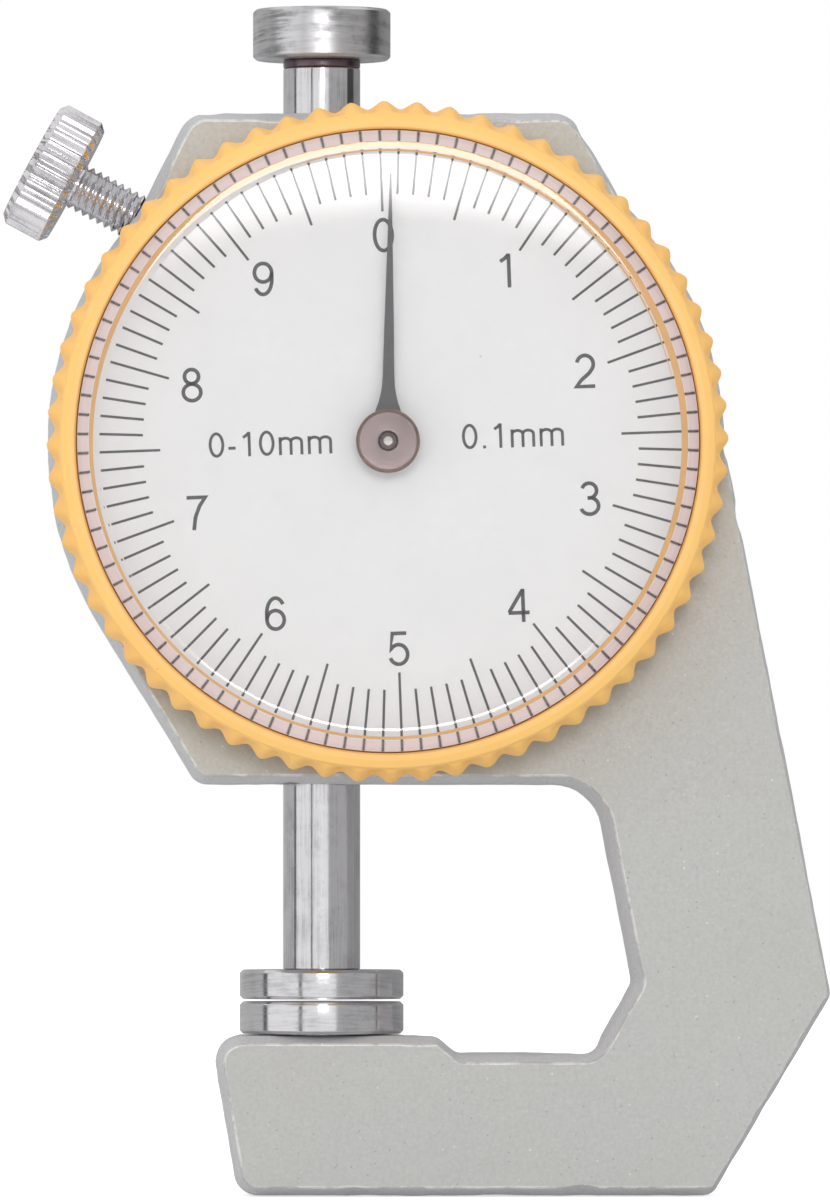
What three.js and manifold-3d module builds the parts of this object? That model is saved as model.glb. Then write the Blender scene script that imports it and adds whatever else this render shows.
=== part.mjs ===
// Dial thickness gauge: a C-shaped die-cast frame with a flat anvil on its lower arm and a
// spring-loaded plunger in its round head. A rack on the plunger turns the pointer of the dial.
// Millimetres, +Z up. The gauge stands on the underside of its lower arm, at Z = 0. The plunger
// slides on the Z axis, the dial looks to -Y, and the cover of the movement looks to +Y.
import * as THREE from "three";
import { mergeVertices } from "three/addons/utils/BufferGeometryUtils.js";
import Module from "manifold-3d";

const wasm = await Module();
wasm.setup();

// Fits and fineness
const CUT_OVERRUN = 1;
const SLIDING_CLEARANCE = 0.1;
const SEAT_CLEARANCE = 0.1;
const TURNING_CLEARANCE = 0.25;
const FACE_GAP = 0.08;
const MERGE_DISTANCE = 0.0001;
const FULL_TURN = 2 * Math.PI;
const QUARTER_TURN = Math.PI / 2;
const ROUND_SIDES = 16;
const DISC_SIDES = 32;
const WIDE_SIDES = 64;
const CORNER_STEPS = 4;

// Plunger, anvil and button
const MEASURING_RANGE = 10;
const ROD_RADIUS = 2.35;
const TIP_RADIUS = 5;
const TIP_CHAMFER = 0.2;
const ANVIL_THICKNESS = 1.97;
const ANVIL_STEM_RADIUS = 2;
const ANVIL_STEM_LENGTH = 3.8;
const CONTACT_THICKNESS = 1.79;
const CONTACT_STUD_RADIUS = 1.2;
const CONTACT_STUD_LENGTH = 1;
const CLOSED_GAP = 0.15;
const RAISED_CLEARANCE = 1.24;
const BUTTON_RADIUS = 4.2;
const BUTTON_HEIGHT = 3.1;
const BUTTON_CHAMFER = 0.3;
const BUTTON_RISE = 2.88;
const WASHER_THICKNESS = 0.5;
const BUTTON_STUD_RADIUS = 1.3;
const BUTTON_STUD_LENGTH = 1.9;

// Rack and pinion: one turn of the pointer is one measuring range
const PINION_TEETH = 16;
const RACK_ADDENDUM = 0.0715;
const PINION_ADDENDUM = 0.28;
const TOOTH_ROOT_CLEARANCE = 0.08;
const TOOTH_BACKLASH = 0.05;
const PINION_WIDTH = 2;
const RACK_SPARE_TEETH = 2;
const PRESSURE_ANGLE = THREE.MathUtils.degToRad(20);
const TIP_FLANK_ANGLE = THREE.MathUtils.degToRad(25);
const RACK_PITCH = MEASURING_RANGE / PINION_TEETH;
const PITCH_RADIUS = MEASURING_RANGE / FULL_TURN;
const RACK_PITCH_LINE = ROD_RADIUS - RACK_ADDENDUM;
const RACK_ROOT = RACK_PITCH_LINE - PINION_ADDENDUM - TOOTH_ROOT_CLEARANCE;
const PINION_TIP_RADIUS = PITCH_RADIUS + PINION_ADDENDUM;
const PINION_ROOT_RADIUS = PITCH_RADIUS - RACK_ADDENDUM - TOOTH_ROOT_CLEARANCE;
const TOOTH_WIDTH = RACK_PITCH / 2 - TOOTH_BACKLASH;

// Crystal, bezel and dial, measured from the dial axis
const CRYSTAL_RADIUS = 18.8;
const CRYSTAL_BEVEL_WIDTH = 1.4;
const CRYSTAL_BEVEL_HEIGHT = 1.2;
const CRYSTAL_SKIRT = 1.2;
const CRYSTAL_TOP_THICKNESS = 1.2;
const CRYSTAL_ROOM = 2.4;
const DIAL_THICKNESS = 0.5;
const BEZEL_BAND_WIDTH = 1.15;
const BEZEL_BAND_RISE = 1.1;
const BEZEL_TOOTH_COUNT = 64;
const BEZEL_TOOTH_HEIGHT = 0.55;
const BEZEL_TOOTH_CHAMFER = 0.35;
const BEZEL_STEP = 0.95;
const BEZEL_GAP = 0.3;
const SEAT_HEIGHT = 2.5;
const SEAT_WALL = 1.5;
const SNAP_RING_THICKNESS = 0.4;
const SNAP_RING_WIDTH = 0.8;
const SNAP_RING_OPENING = THREE.MathUtils.degToRad(24);
const BEZEL_BORE = CRYSTAL_RADIUS + SEAT_CLEARANCE;
const BEZEL_VALLEY = BEZEL_BORE + BEZEL_BAND_WIDTH;
const BEZEL_TIP = BEZEL_VALLEY + BEZEL_TOOTH_HEIGHT;
const BEZEL_BEARING = BEZEL_BORE - BEZEL_STEP;
const SEAT_RADIUS = BEZEL_BEARING - TURNING_CLEARANCE;
const CAVITY_RADIUS = SEAT_RADIUS - SEAT_WALL;

// Frame casting
const BODY_THICKNESS = 10.4;
const EDGE_DEPTH = 1.2;
const EDGE_INSET = 0.6;
const WEB_THICKNESS = 1.5;
const HEAD_MARGIN = 0.05;
const HEAD_TOP_SHAVE = 0.43;
const HEAD_TOP_LEFT = 11.99;
const HEAD_TOP_RIGHT = 11.25;
const HEAD_BOTTOM_LEFT = 11.52;
const HEAD_TOP_CORNER = 1.9;
const HEAD_BOTTOM_CORNER = 1.3;
const UPPER_LEFT_SLANT_END = THREE.MathUtils.degToRad(137.4);
const LOWER_LEFT_SLANT_END = THREE.MathUtils.degToRad(210);
const UPPER_RIGHT_SLANT_END = THREE.MathUtils.degToRad(46);
const ARM_TOP = 9.75;
const ARM_END_TOP = 6.85;
const ARM_END_CORNER = 1.6;
const BASE_LEFT = 5.17;
const BASE_LEFT_CORNER = 1.5;
const BASE_RIGHT = 23.7;
const BACK_CORNER = 1;
const PAD_RIGHT = 6.95;
const PAD_DROP = 1.07;
const PAD_SLOPE = 1.35;
const PAD_CORNER = 0.8;
const FLOOR_RIGHT = 16.54;
const FLOOR_CORNER = 1.2;
const WAIST_RIGHT = 18.97;
const WAIST_RISE = 3.19;
const WAIST_CORNER = 0.8;
const THROAT_RIGHT = 16.63;
const THROAT_CORNER = 3;
const BACK_RIGHT = 30.96;
const BACK_RISE = 2.45;
const BUSH_WALL = 0.75;
const BUSH_INSET = 0.3;
const BUSH_LENGTH = 3.8;
const BUSH_BORE_DEPTH = 6.3;

// Cover of the movement
const COVER_RIM = 2.05;
const COVER_RECESS = 1.2;
const COVER_THICKNESS = 1;
const COVER_SCREW_INSET = 1.6;
const COVER_SCREW_RADIUS = 0.6;
const COVER_SCREW_HEAD = 1.25;
const COVER_SCREW_CONE = 0.6;
const COVER_SCREW_LENGTH = 4;
const COVER_BOSS_RADIUS = 1.9;
const COVER_SCREW_ANGLES = [30, 150, 210, 330].map(THREE.MathUtils.degToRad);

// Movement: bearings, bridge, hairspring and pointer
const ARBOR_RADIUS = 0.5;
const ARBOR_SHOULDER_RADIUS = 0.7;
const ARBOR_PIVOT_RADIUS = 0.35;
const ARBOR_DOME = 0.2;
const BEARING_RADIUS = 1.5;
const BEARING_PROUD = 0.5;
const BRIDGE_THICKNESS = 0.6;
const BRIDGE_HALF_WIDTH = 2.4;
const BRIDGE_HALF_SPAN = 7.2;
const BRIDGE_OFFSET = 1.53;
const BRIDGE_SCREW_RADIUS = 0.6;
const BRIDGE_SCREW_HEAD = 1.15;
const BRIDGE_HEAD_HEIGHT = 0.5;
const PILLAR_RADIUS = 1.3;
const SCREW_BITE = 0.9;
const SCREW_HOLE_SPARE = 0.2;
const HAIRSPRING_TURNS = 2;
const HAIRSPRING_STEPS = 32;
const HAIRSPRING_WIDTH = 0.5;
const HAIRSPRING_STRIP = 0.09;
const HAIRSPRING_PITCH = 0.3;
const HAIRSPRING_GAP = 0.15;
const COLLET_WALL = 0.25;
const STUD_RADIUS = 0.25;
const HUB_RADIUS = 1.925;
const HUB_CHAMFER = 0.2;
const HUB_HEIGHT = 1.2;
const HUB_BORE_CLEARANCE = 0.05;
const POINTER_LENGTH = 16.2;
const POINTER_THICKNESS = 0.2;
const POINTER_RISE = 0.5;
const POINTER_BOSS_RADIUS = 1.6;
const POINTER_TIP_HALF_WIDTH = 0.05;
const POINTER_HALF_WIDTH = 0.33;
const POINTER_ROOT_HALF_WIDTH = 0.75;
const POINTER_WIDE_END_SHARE = 0.2;
const POINTER_TURN = THREE.MathUtils.degToRad(0.64);

// Lock screw: it clamps the plunger through a brass pad
const LOCK_TILT = THREE.MathUtils.degToRad(28.5);
const LOCK_RISE = 7.8;
const LOCK_STANDOFF = 4.19;
const LOCK_TRAVEL = 0.5;
const LOCK_HEAD_RADIUS = 4.1;
const LOCK_HEAD_LENGTH = 3.05;
const LOCK_HEAD_CHAMFER = 0.25;
const LOCK_KNURL_COUNT = 28;
const LOCK_KNURL_DEPTH = 0.22;
const LOCK_THREAD_RADIUS = 1.475;
const LOCK_NECK_RADIUS = 1.2;
const LOCK_NECK_LENGTH = 0.6;
const LOCK_TENON_LENGTH = 1.4;
const LOCK_STUD_LENGTH = 9.5;
const LOCK_PAD_RADIUS = 1.3;
const LOCK_BOSS_RADIUS = 2.6;
const LOCK_BOSS_GAP = 2.55;

// Anti-rotation guide and return spring, on the left of the plunger
const GUIDE_PIN_RADIUS = 0.6;
const GUIDE_PIN_DEPTH = 1.35;
const GUIDE_PIN_DROP = 11.7;
const GUIDE_GAP = 0.95;
const GUIDE_PLATE_THICKNESS = 0.8;
const GUIDE_PLATE_RISE = 5.9;
const GUIDE_PLATE_SINK = 0.5;
const GUIDE_SLOT_SPARE = 0.2;
const GUIDE_PLATE_END = 0.8;
const SPRING_OFFSET = 5.2;
const SPRING_RADIUS = 0.72;
const SPRING_WIRE = 0.13;
const SPRING_TURNS = 9;
const SPRING_SIDES = 5;
const SPRING_STEPS_A_TURN = 8;
const SPRING_HOOK_GAP = 0.1;
const SPRING_HOOK_LENGTH = 0.55;
const POST_RADIUS = 0.5;
const POST_CLEARANCE = 0.5;
const POST_SPARE = 1;

// Heights above the surface that the gauge stands on
const ANVIL_TOP = ARM_TOP + FACE_GAP + ANVIL_THICKNESS;
const CONTACT_BOTTOM = ANVIL_TOP + CLOSED_GAP;
const CONTACT_TOP = CONTACT_BOTTOM + CONTACT_THICKNESS;
const HEAD_RADIUS = BEZEL_TIP + HEAD_MARGIN;
const HEAD_BOTTOM = CONTACT_TOP + MEASURING_RANGE + RAISED_CLEARANCE;
const DIAL_Z = HEAD_BOTTOM + HEAD_RADIUS + HEAD_MARGIN;
const DIAL_X = RACK_PITCH_LINE + PITCH_RADIUS;
const HEAD_TOP = DIAL_Z + HEAD_RADIUS - HEAD_TOP_SHAVE;
const WASHER_BOTTOM = HEAD_TOP + BUTTON_RISE;
const BUTTON_BOTTOM = WASHER_BOTTOM + WASHER_THICKNESS;
const BUTTON_TOP = BUTTON_BOTTOM + BUTTON_HEIGHT;
const LOCK_Z = DIAL_Z + LOCK_RISE;
const LOCK_REACH = headEdgeOnLockAxis() + LOCK_STANDOFF;
const LOCK_BOSS_START = LOCK_STANDOFF;
const LOCK_BOSS_END = LOCK_REACH - ROD_RADIUS - LOCK_BOSS_GAP;
const GUIDE_PIN_Z = LOCK_Z - GUIDE_PIN_DROP;

// Depths from the middle of the casting, front to -Y and back to +Y
const FRONT_FACE = -BODY_THICKNESS / 2;
const BACK_FACE = BODY_THICKNESS / 2;
const WEB_BACK = FRONT_FACE + WEB_THICKNESS;
const COVER_SEAT = BACK_FACE - COVER_RECESS;
const BEZEL_BACK = FRONT_FACE - BEZEL_GAP;
const SEAT_FRONT = FRONT_FACE - SEAT_HEIGHT;
const DIAL_BACK = SEAT_FRONT - BEZEL_GAP;
const DIAL_FRONT = DIAL_BACK - DIAL_THICKNESS;
const CRYSTAL_INSIDE = DIAL_FRONT - CRYSTAL_ROOM;
const CRYSTAL_FRONT = CRYSTAL_INSIDE - CRYSTAL_TOP_THICKNESS;
const CRYSTAL_SHOULDER = CRYSTAL_FRONT + CRYSTAL_BEVEL_HEIGHT;
const BEZEL_SHOULDER = CRYSTAL_SHOULDER + BEZEL_BAND_RISE;
const SNAP_RING_MIDDLE = (BEZEL_BACK + SEAT_FRONT) / 2;
const POINTER_BACK = DIAL_FRONT - POINTER_RISE;
const POINTER_FRONT = POINTER_BACK - POINTER_THICKNESS;
const HUB_FRONT = POINTER_FRONT - HUB_HEIGHT;
const PINION_BACK = PINION_WIDTH / 2;
const HAIRSPRING_FRONT = PINION_BACK + HAIRSPRING_GAP;
const HAIRSPRING_BACK = HAIRSPRING_FRONT + HAIRSPRING_WIDTH;
const BRIDGE_FRONT = HAIRSPRING_BACK + TURNING_CLEARANCE;
const BRIDGE_BACK = BRIDGE_FRONT + BRIDGE_THICKNESS;
const BEARING_BACK = WEB_BACK + BEARING_PROUD;

// Materials by their colour, roughness and metalness
const castAlloy = look(0xbcbdb6, 0.55, 0.75);
const steel = look(0xb4b3b5, 0.3, 1);
const darkSteel = look(0x55555a, 0.4, 0.9);
const brass = look(0xb8954e, 0.35, 1);
const bezelOrange = look(0xfdb955, 0.4, 0);
const clearAcrylic = look(0xf4f4f4, 0.05, 0);
const dialWhite = look(0xe6e6e6, 0.5, 0);
const hubAlloy = look(0xa5918e, 0.3, 1);

function look(color, roughness, metalness) {
  return new THREE.MeshStandardMaterial({ color, roughness, metalness });
}

// A closed geometry as a solid that can be joined to others and cut.
function solidOf(geometry) {
  const shell = geometry.index ? geometry.toNonIndexed() : geometry.clone();
  shell.deleteAttribute("normal");
  shell.deleteAttribute("uv");
  const merged = mergeVertices(shell, MERGE_DISTANCE);
  return new wasm.Manifold(
    new wasm.Mesh({
      numProp: 3,
      vertProperties: merged.getAttribute("position").array,
      triVerts: new Uint32Array(merged.index.array),
    }),
  );
}

function geometryOf(solid) {
  const { vertProperties, triVerts } = solid.getMesh();
  const geometry = new THREE.BufferGeometry();
  geometry.setAttribute("position", new THREE.BufferAttribute(vertProperties, 3));
  geometry.setIndex(new THREE.BufferAttribute(triVerts, 1));
  const faceted = geometry.toNonIndexed();
  faceted.computeVertexNormals();
  return faceted;
}

function piece(name, shape, material) {
  const geometry = shape.isBufferGeometry ? shape : geometryOf(shape);
  const mesh = new THREE.Mesh(geometry, material);
  mesh.name = name;
  return mesh;
}

// A cylinder on the Y axis between two depths, on the Z axis between two heights, or on X.
function drumY(radius, from, to, sides = ROUND_SIDES) {
  const drum = new THREE.CylinderGeometry(radius, radius, to - from, sides);
  return drum.translate(0, (from + to) / 2, 0);
}

function drumZ(radius, from, to, sides = ROUND_SIDES) {
  return drumY(radius, from, to, sides).rotateX(QUARTER_TURN);
}

function drumX(radius, from, to, sides = ROUND_SIDES) {
  return drumY(radius, from, to, sides).rotateZ(-QUARTER_TURN);
}

function block(x, y, z) {
  const box = new THREE.BoxGeometry(x[1] - x[0], y[1] - y[0], z[1] - z[0]);
  return box.translate((x[0] + x[1]) / 2, (y[0] + y[1]) / 2, (z[0] + z[1]) / 2);
}

// A solid of revolution on the Y axis. The profile lists [radius, depth] from the +Y end to
// the -Y end along the outside, and a ring's profile comes back along its bore and closes.
function turnedY(profile, sides = WIDE_SIDES) {
  const points = profile.map(([radius, depth]) => new THREE.Vector2(radius, -depth));
  return new THREE.LatheGeometry(points, sides).rotateX(Math.PI);
}

// A solid of revolution on the Z axis. The profile lists [radius, height] from the bottom up.
function turnedZ(profile, sides = DISC_SIDES) {
  const points = profile.map(([radius, height]) => new THREE.Vector2(radius, height));
  return new THREE.LatheGeometry(points, sides).rotateX(QUARTER_TURN);
}

// An outline drawn as seen from the front, X to the right and Z up, made a plate between
// two depths, with an equal chamfer on both faces where a chamfer is given.
function plate(shape, from, to, chamfer = 0) {
  const body = new THREE.ExtrudeGeometry(shape, {
    depth: to - from - 2 * chamfer,
    bevelEnabled: chamfer > 0,
    bevelThickness: chamfer,
    bevelSize: chamfer,
    bevelOffset: -chamfer,
    bevelSegments: 1,
  });
  return body.rotateX(QUARTER_TURN).translate(0, to - chamfer, 0);
}

function wheelOutline(count, radiusAt) {
  const points = [];
  for (let k = 0; k < count; k += 1) {
    const angle = (k / count) * FULL_TURN;
    points.push(new THREE.Vector2(Math.cos(angle), Math.sin(angle)).multiplyScalar(radiusAt(k)));
  }
  return new THREE.Shape(points);
}

// Points of the round of one corner between the sides that come from and go to its neighbours.
function cornerPoints(before, corner, after, radius) {
  if (radius === 0) return [corner];
  const back = before.clone().sub(corner).normalize();
  const ahead = after.clone().sub(corner).normalize();
  const half = Math.acos(back.dot(ahead)) / 2;
  const middle = back.clone().add(ahead).normalize();
  const centre = corner.clone().addScaledVector(middle, radius / Math.sin(half));
  const start = corner.clone().addScaledVector(back, radius / Math.tan(half)).sub(centre);
  const end = corner.clone().addScaledVector(ahead, radius / Math.tan(half)).sub(centre);
  const sweep = Math.atan2(start.cross(end), start.dot(end));
  const turned = (k) => start.clone().rotateAround(new THREE.Vector2(), (sweep * k) / CORNER_STEPS);
  return Array.from({ length: CORNER_STEPS + 1 }, (_, k) => turned(k).add(centre));
}

// An outline whose corners are listed as [x, z, radius].
function roundedOutline(corners) {
  const at = corners.map(([x, z]) => new THREE.Vector2(x, z));
  const last = corners.length - 1;
  const points = corners.flatMap(([, , radius], k) =>
    cornerPoints(at[k === 0 ? last : k - 1], at[k], at[k === last ? 0 : k + 1], radius),
  );
  return new THREE.Shape(points);
}

function onHead(angle) {
  return [DIAL_X + HEAD_RADIUS * Math.cos(angle), DIAL_Z + HEAD_RADIUS * Math.sin(angle), 0];
}

// The C-shaped silhouette, counterclockwise from the lower left. The round of the head
// covers the straight stretches between the points that lie on it.
function frameOutline() {
  const floor = ARM_TOP - PAD_DROP;
  return roundedOutline([
    [-BASE_LEFT, 0, BASE_LEFT_CORNER],
    [BASE_RIGHT, 0, BACK_CORNER],
    [BACK_RIGHT, ARM_TOP + BACK_RISE, BACK_CORNER],
    onHead(0),
    onHead(UPPER_RIGHT_SLANT_END),
    [DIAL_X + HEAD_TOP_RIGHT, HEAD_TOP, HEAD_TOP_CORNER],
    [DIAL_X - HEAD_TOP_LEFT, HEAD_TOP, HEAD_TOP_CORNER],
    onHead(UPPER_LEFT_SLANT_END),
    onHead(LOWER_LEFT_SLANT_END),
    [DIAL_X - HEAD_BOTTOM_LEFT, HEAD_BOTTOM, HEAD_BOTTOM_CORNER],
    [THROAT_RIGHT, HEAD_BOTTOM, THROAT_CORNER],
    [WAIST_RIGHT, ARM_TOP + WAIST_RISE, WAIST_CORNER],
    [FLOOR_RIGHT, floor, FLOOR_CORNER],
    [PAD_RIGHT + PAD_SLOPE, floor, PAD_CORNER],
    [PAD_RIGHT, ARM_TOP, PAD_CORNER],
    [-ARM_END_TOP, ARM_TOP, ARM_END_CORNER],
  ]);
}

// The casting narrows a little towards both faces, all round.
function taperedPlate(shape) {
  const body = new THREE.ExtrudeGeometry(shape, {
    depth: BODY_THICKNESS - 2 * EDGE_DEPTH,
    bevelThickness: EDGE_DEPTH,
    bevelSize: EDGE_INSET,
    bevelOffset: -EDGE_INSET,
    bevelSegments: 1,
  });
  return body.rotateX(QUARTER_TURN).translate(0, BACK_FACE - EDGE_DEPTH, 0);
}

function onDialAxis(geometry) {
  return geometry.translate(DIAL_X, 0, DIAL_Z);
}

// How far from the plunger's axis the lock axis leaves the round of the head.
function headEdgeOnLockAxis() {
  const along = DIAL_X * Math.cos(LOCK_TILT) + LOCK_RISE * Math.sin(LOCK_TILT);
  const aside = DIAL_X * Math.sin(LOCK_TILT) - LOCK_RISE * Math.cos(LOCK_TILT);
  return Math.sqrt(HEAD_RADIUS ** 2 - aside ** 2) - along;
}

// The lock screw's own frame: its Z axis runs inwards from the inner face of the knurled head.
function lockFrame() {
  const frame = new THREE.Object3D();
  frame.rotation.y = QUARTER_TURN + LOCK_TILT;
  const outward = new THREE.Vector3(-Math.cos(LOCK_TILT), 0, Math.sin(LOCK_TILT));
  frame.position.set(0, 0, LOCK_Z).addScaledVector(outward, LOCK_REACH);
  frame.updateMatrix();
  return frame;
}

function onLockAxis(geometry) {
  return geometry.applyMatrix4(lockFrame().matrix);
}

function coverScrewPlaces() {
  const reach = HEAD_RADIUS - COVER_RIM - COVER_SCREW_INSET;
  return COVER_SCREW_ANGLES.map((angle) => [
    DIAL_X + reach * Math.cos(angle),
    DIAL_Z + reach * Math.sin(angle),
  ]);
}

function bridgeScrewPlaces() {
  const x = DIAL_X + BRIDGE_OFFSET;
  return [
    [x, DIAL_Z + BRIDGE_HALF_SPAN],
    [x, DIAL_Z - BRIDGE_HALF_SPAN],
  ];
}

// The spring's post stands just above the floor of the round cavity.
function postHeight() {
  const aside = DIAL_X + SPRING_OFFSET + POST_RADIUS;
  const drop = Math.sqrt(CAVITY_RADIUS ** 2 - aside ** 2);
  return DIAL_Z - drop + POST_RADIUS + POST_CLEARANCE;
}

function guidePlateSpan() {
  const right = -ROD_RADIUS - GUIDE_GAP;
  return [right - GUIDE_PLATE_THICKNESS, right];
}

// The room for the movement, open to the back, with the bosses that stand in it left whole.
function cavity() {
  const round = onDialAxis(drumY(CAVITY_RADIUS, WEB_BACK, BACK_FACE + CUT_OVERRUN, WIDE_SIDES));
  let room = solidOf(round);
  coverScrewPlaces().forEach(([x, z]) => {
    const boss = drumY(COVER_BOSS_RADIUS, FRONT_FACE, BACK_FACE + 2 * CUT_OVERRUN);
    room = room.subtract(solidOf(boss.translate(x, 0, z)));
  });
  const lockBoss = drumZ(LOCK_BOSS_RADIUS, LOCK_BOSS_START, LOCK_BOSS_END);
  return room.subtract(solidOf(onLockAxis(lockBoss)));
}

// Each bush is pressed into a straight bore that opens into the room of the movement.
function bushHoles() {
  const radius = ROD_RADIUS + SLIDING_CLEARANCE + BUSH_WALL + SEAT_CLEARANCE;
  return [
    drumZ(radius, HEAD_BOTTOM - CUT_OVERRUN, HEAD_BOTTOM + BUSH_BORE_DEPTH),
    drumZ(radius, HEAD_TOP - BUSH_BORE_DEPTH, HEAD_TOP + CUT_OVERRUN),
  ];
}

function webHoles() {
  const holes = bridgeScrewPlaces().map(([x, z]) => {
    const radius = BRIDGE_SCREW_RADIUS + SEAT_CLEARANCE;
    const end = WEB_BACK - SCREW_BITE - SCREW_HOLE_SPARE;
    return drumY(radius, end, WEB_BACK + CUT_OVERRUN).translate(x, 0, z);
  });
  const postEnd = WEB_BACK - SCREW_BITE - SCREW_HOLE_SPARE;
  const post = drumY(POST_RADIUS + SEAT_CLEARANCE, postEnd, WEB_BACK + CUT_OVERRUN);
  holes.push(post.translate(-SPRING_OFFSET, 0, postHeight()));
  const bearing = drumY(BEARING_RADIUS + SEAT_CLEARANCE, FRONT_FACE - CUT_OVERRUN, 0);
  holes.push(onDialAxis(bearing));
  return holes;
}

function guideGroove() {
  const [left, right] = guidePlateSpan();
  const { low, high } = guidePlateHeights();
  const sink = GUIDE_PLATE_SINK + SEAT_CLEARANCE;
  return block(
    [left - SEAT_CLEARANCE, right + SEAT_CLEARANCE],
    [WEB_BACK - sink, WEB_BACK + CUT_OVERRUN],
    [low - SEAT_CLEARANCE, high + SEAT_CLEARANCE],
  );
}

function frameCasting() {
  const seat = drumY(SEAT_RADIUS, SEAT_FRONT, WEB_BACK, WIDE_SIDES);
  const hollow = drumY(CAVITY_RADIUS, SEAT_FRONT - CUT_OVERRUN, FRONT_FACE, WIDE_SIDES);
  const round = onDialAxis(taperedPlate(wheelOutline(WIDE_SIDES, () => HEAD_RADIUS)));
  let casting = solidOf(taperedPlate(frameOutline())).add(solidOf(round));
  casting = casting.add(solidOf(onDialAxis(seat))).subtract(solidOf(onDialAxis(hollow)));
  casting = casting.subtract(cavity());
  const recess = drumY(
    HEAD_RADIUS - COVER_RIM + SEAT_CLEARANCE,
    COVER_SEAT,
    BACK_FACE + CUT_OVERRUN,
    WIDE_SIDES,
  );
  const socket = drumZ(
    ANVIL_STEM_RADIUS + SEAT_CLEARANCE,
    ARM_TOP - ANVIL_STEM_LENGTH - SEAT_CLEARANCE,
    ARM_TOP + CUT_OVERRUN,
  );
  const lockBore = LOCK_THREAD_RADIUS + TURNING_CLEARANCE;
  const cuts = [
    onDialAxis(recess),
    onDialAxis(snapGroove()),
    ...coverScrewPlaces().map(([x, z]) =>
      drumY(
        COVER_SCREW_RADIUS + SEAT_CLEARANCE,
        COVER_SEAT - COVER_SCREW_LENGTH,
        COVER_SEAT + CUT_OVERRUN,
      ).translate(x, 0, z),
    ),
    ...bushHoles(),
    ...webHoles(),
    guideGroove(),
    socket,
    onLockAxis(drumZ(lockBore, 0, LOCK_BOSS_END + CUT_OVERRUN)),
  ];
  return cuts.reduce((body, cut) => body.subtract(solidOf(cut)), casting);
}

// The groove of the snap ring, cut into the seat from outside.
function snapGroove() {
  const half = SNAP_RING_THICKNESS / 2 + SEAT_CLEARANCE;
  const inner = snapRingInner() - SEAT_CLEARANCE;
  const outer = SEAT_RADIUS + TURNING_CLEARANCE / 2;
  return turnedY([
    [inner, SNAP_RING_MIDDLE + half],
    [outer, SNAP_RING_MIDDLE + half],
    [outer, SNAP_RING_MIDDLE - half],
    [inner, SNAP_RING_MIDDLE - half],
    [inner, SNAP_RING_MIDDLE + half],
  ]);
}

function snapRingInner() {
  return SEAT_RADIUS + TURNING_CLEARANCE / 2 - SNAP_RING_WIDTH / 2;
}

function snapRing() {
  const inner = snapRingInner();
  const start = SNAP_RING_OPENING / 2 - QUARTER_TURN;
  const sweep = FULL_TURN - SNAP_RING_OPENING;
  const arc = (radius) =>
    Array.from({ length: WIDE_SIDES + 1 }, (_, k) => {
      const angle = start + (sweep * k) / WIDE_SIDES;
      return new THREE.Vector2(radius * Math.cos(angle), radius * Math.sin(angle));
    });
  const ring = new THREE.Shape([...arc(inner + SNAP_RING_WIDTH), ...arc(inner).reverse()]);
  const half = SNAP_RING_THICKNESS / 2;
  return plate(ring, SNAP_RING_MIDDLE - half, SNAP_RING_MIDDLE + half);
}

function bush(from) {
  const bore = ROD_RADIUS + SLIDING_CLEARANCE;
  const outer = bore + BUSH_WALL;
  const to = from + BUSH_LENGTH;
  return turnedZ([
    [bore, from],
    [outer, from],
    [outer, to],
    [bore, to],
    [bore, from],
  ]);
}

function anvilDisc() {
  const bottom = ARM_TOP + FACE_GAP;
  return turnedZ([
    [0, ARM_TOP - ANVIL_STEM_LENGTH],
    [ANVIL_STEM_RADIUS, ARM_TOP - ANVIL_STEM_LENGTH],
    [ANVIL_STEM_RADIUS, bottom],
    [TIP_RADIUS - TIP_CHAMFER, bottom],
    [TIP_RADIUS, bottom + TIP_CHAMFER],
    [TIP_RADIUS, ANVIL_TOP - TIP_CHAMFER],
    [TIP_RADIUS - TIP_CHAMFER, ANVIL_TOP],
    [0, ANVIL_TOP],
  ]);
}

function contactDisc() {
  const bore = CONTACT_STUD_RADIUS + SEAT_CLEARANCE;
  const boreEnd = CONTACT_TOP - CONTACT_STUD_LENGTH - SEAT_CLEARANCE;
  return turnedZ([
    [0, CONTACT_BOTTOM],
    [TIP_RADIUS - TIP_CHAMFER, CONTACT_BOTTOM],
    [TIP_RADIUS, CONTACT_BOTTOM + TIP_CHAMFER],
    [TIP_RADIUS, CONTACT_TOP - TIP_CHAMFER],
    [TIP_RADIUS - TIP_CHAMFER, CONTACT_TOP],
    [bore, CONTACT_TOP],
    [bore, boreEnd],
    [0, boreEnd],
  ]);
}

// One gap of the rack: the pinion's tooth with play, cut across the plunger on its +X side.
function rackGap(height) {
  const outside = ROD_RADIUS + CUT_OVERRUN;
  const gapAt = (x) => {
    const tooth = TOOTH_WIDTH - 2 * (x - RACK_PITCH_LINE) * Math.tan(PRESSURE_ANGLE);
    return (RACK_PITCH - tooth) / 2;
  };
  const shape = new THREE.Shape([
    new THREE.Vector2(RACK_ROOT, height - gapAt(RACK_ROOT)),
    new THREE.Vector2(outside, height - gapAt(outside)),
    new THREE.Vector2(outside, height + gapAt(outside)),
    new THREE.Vector2(RACK_ROOT, height + gapAt(RACK_ROOT)),
  ]);
  return plate(shape, -ROD_RADIUS, ROD_RADIUS);
}

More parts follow.
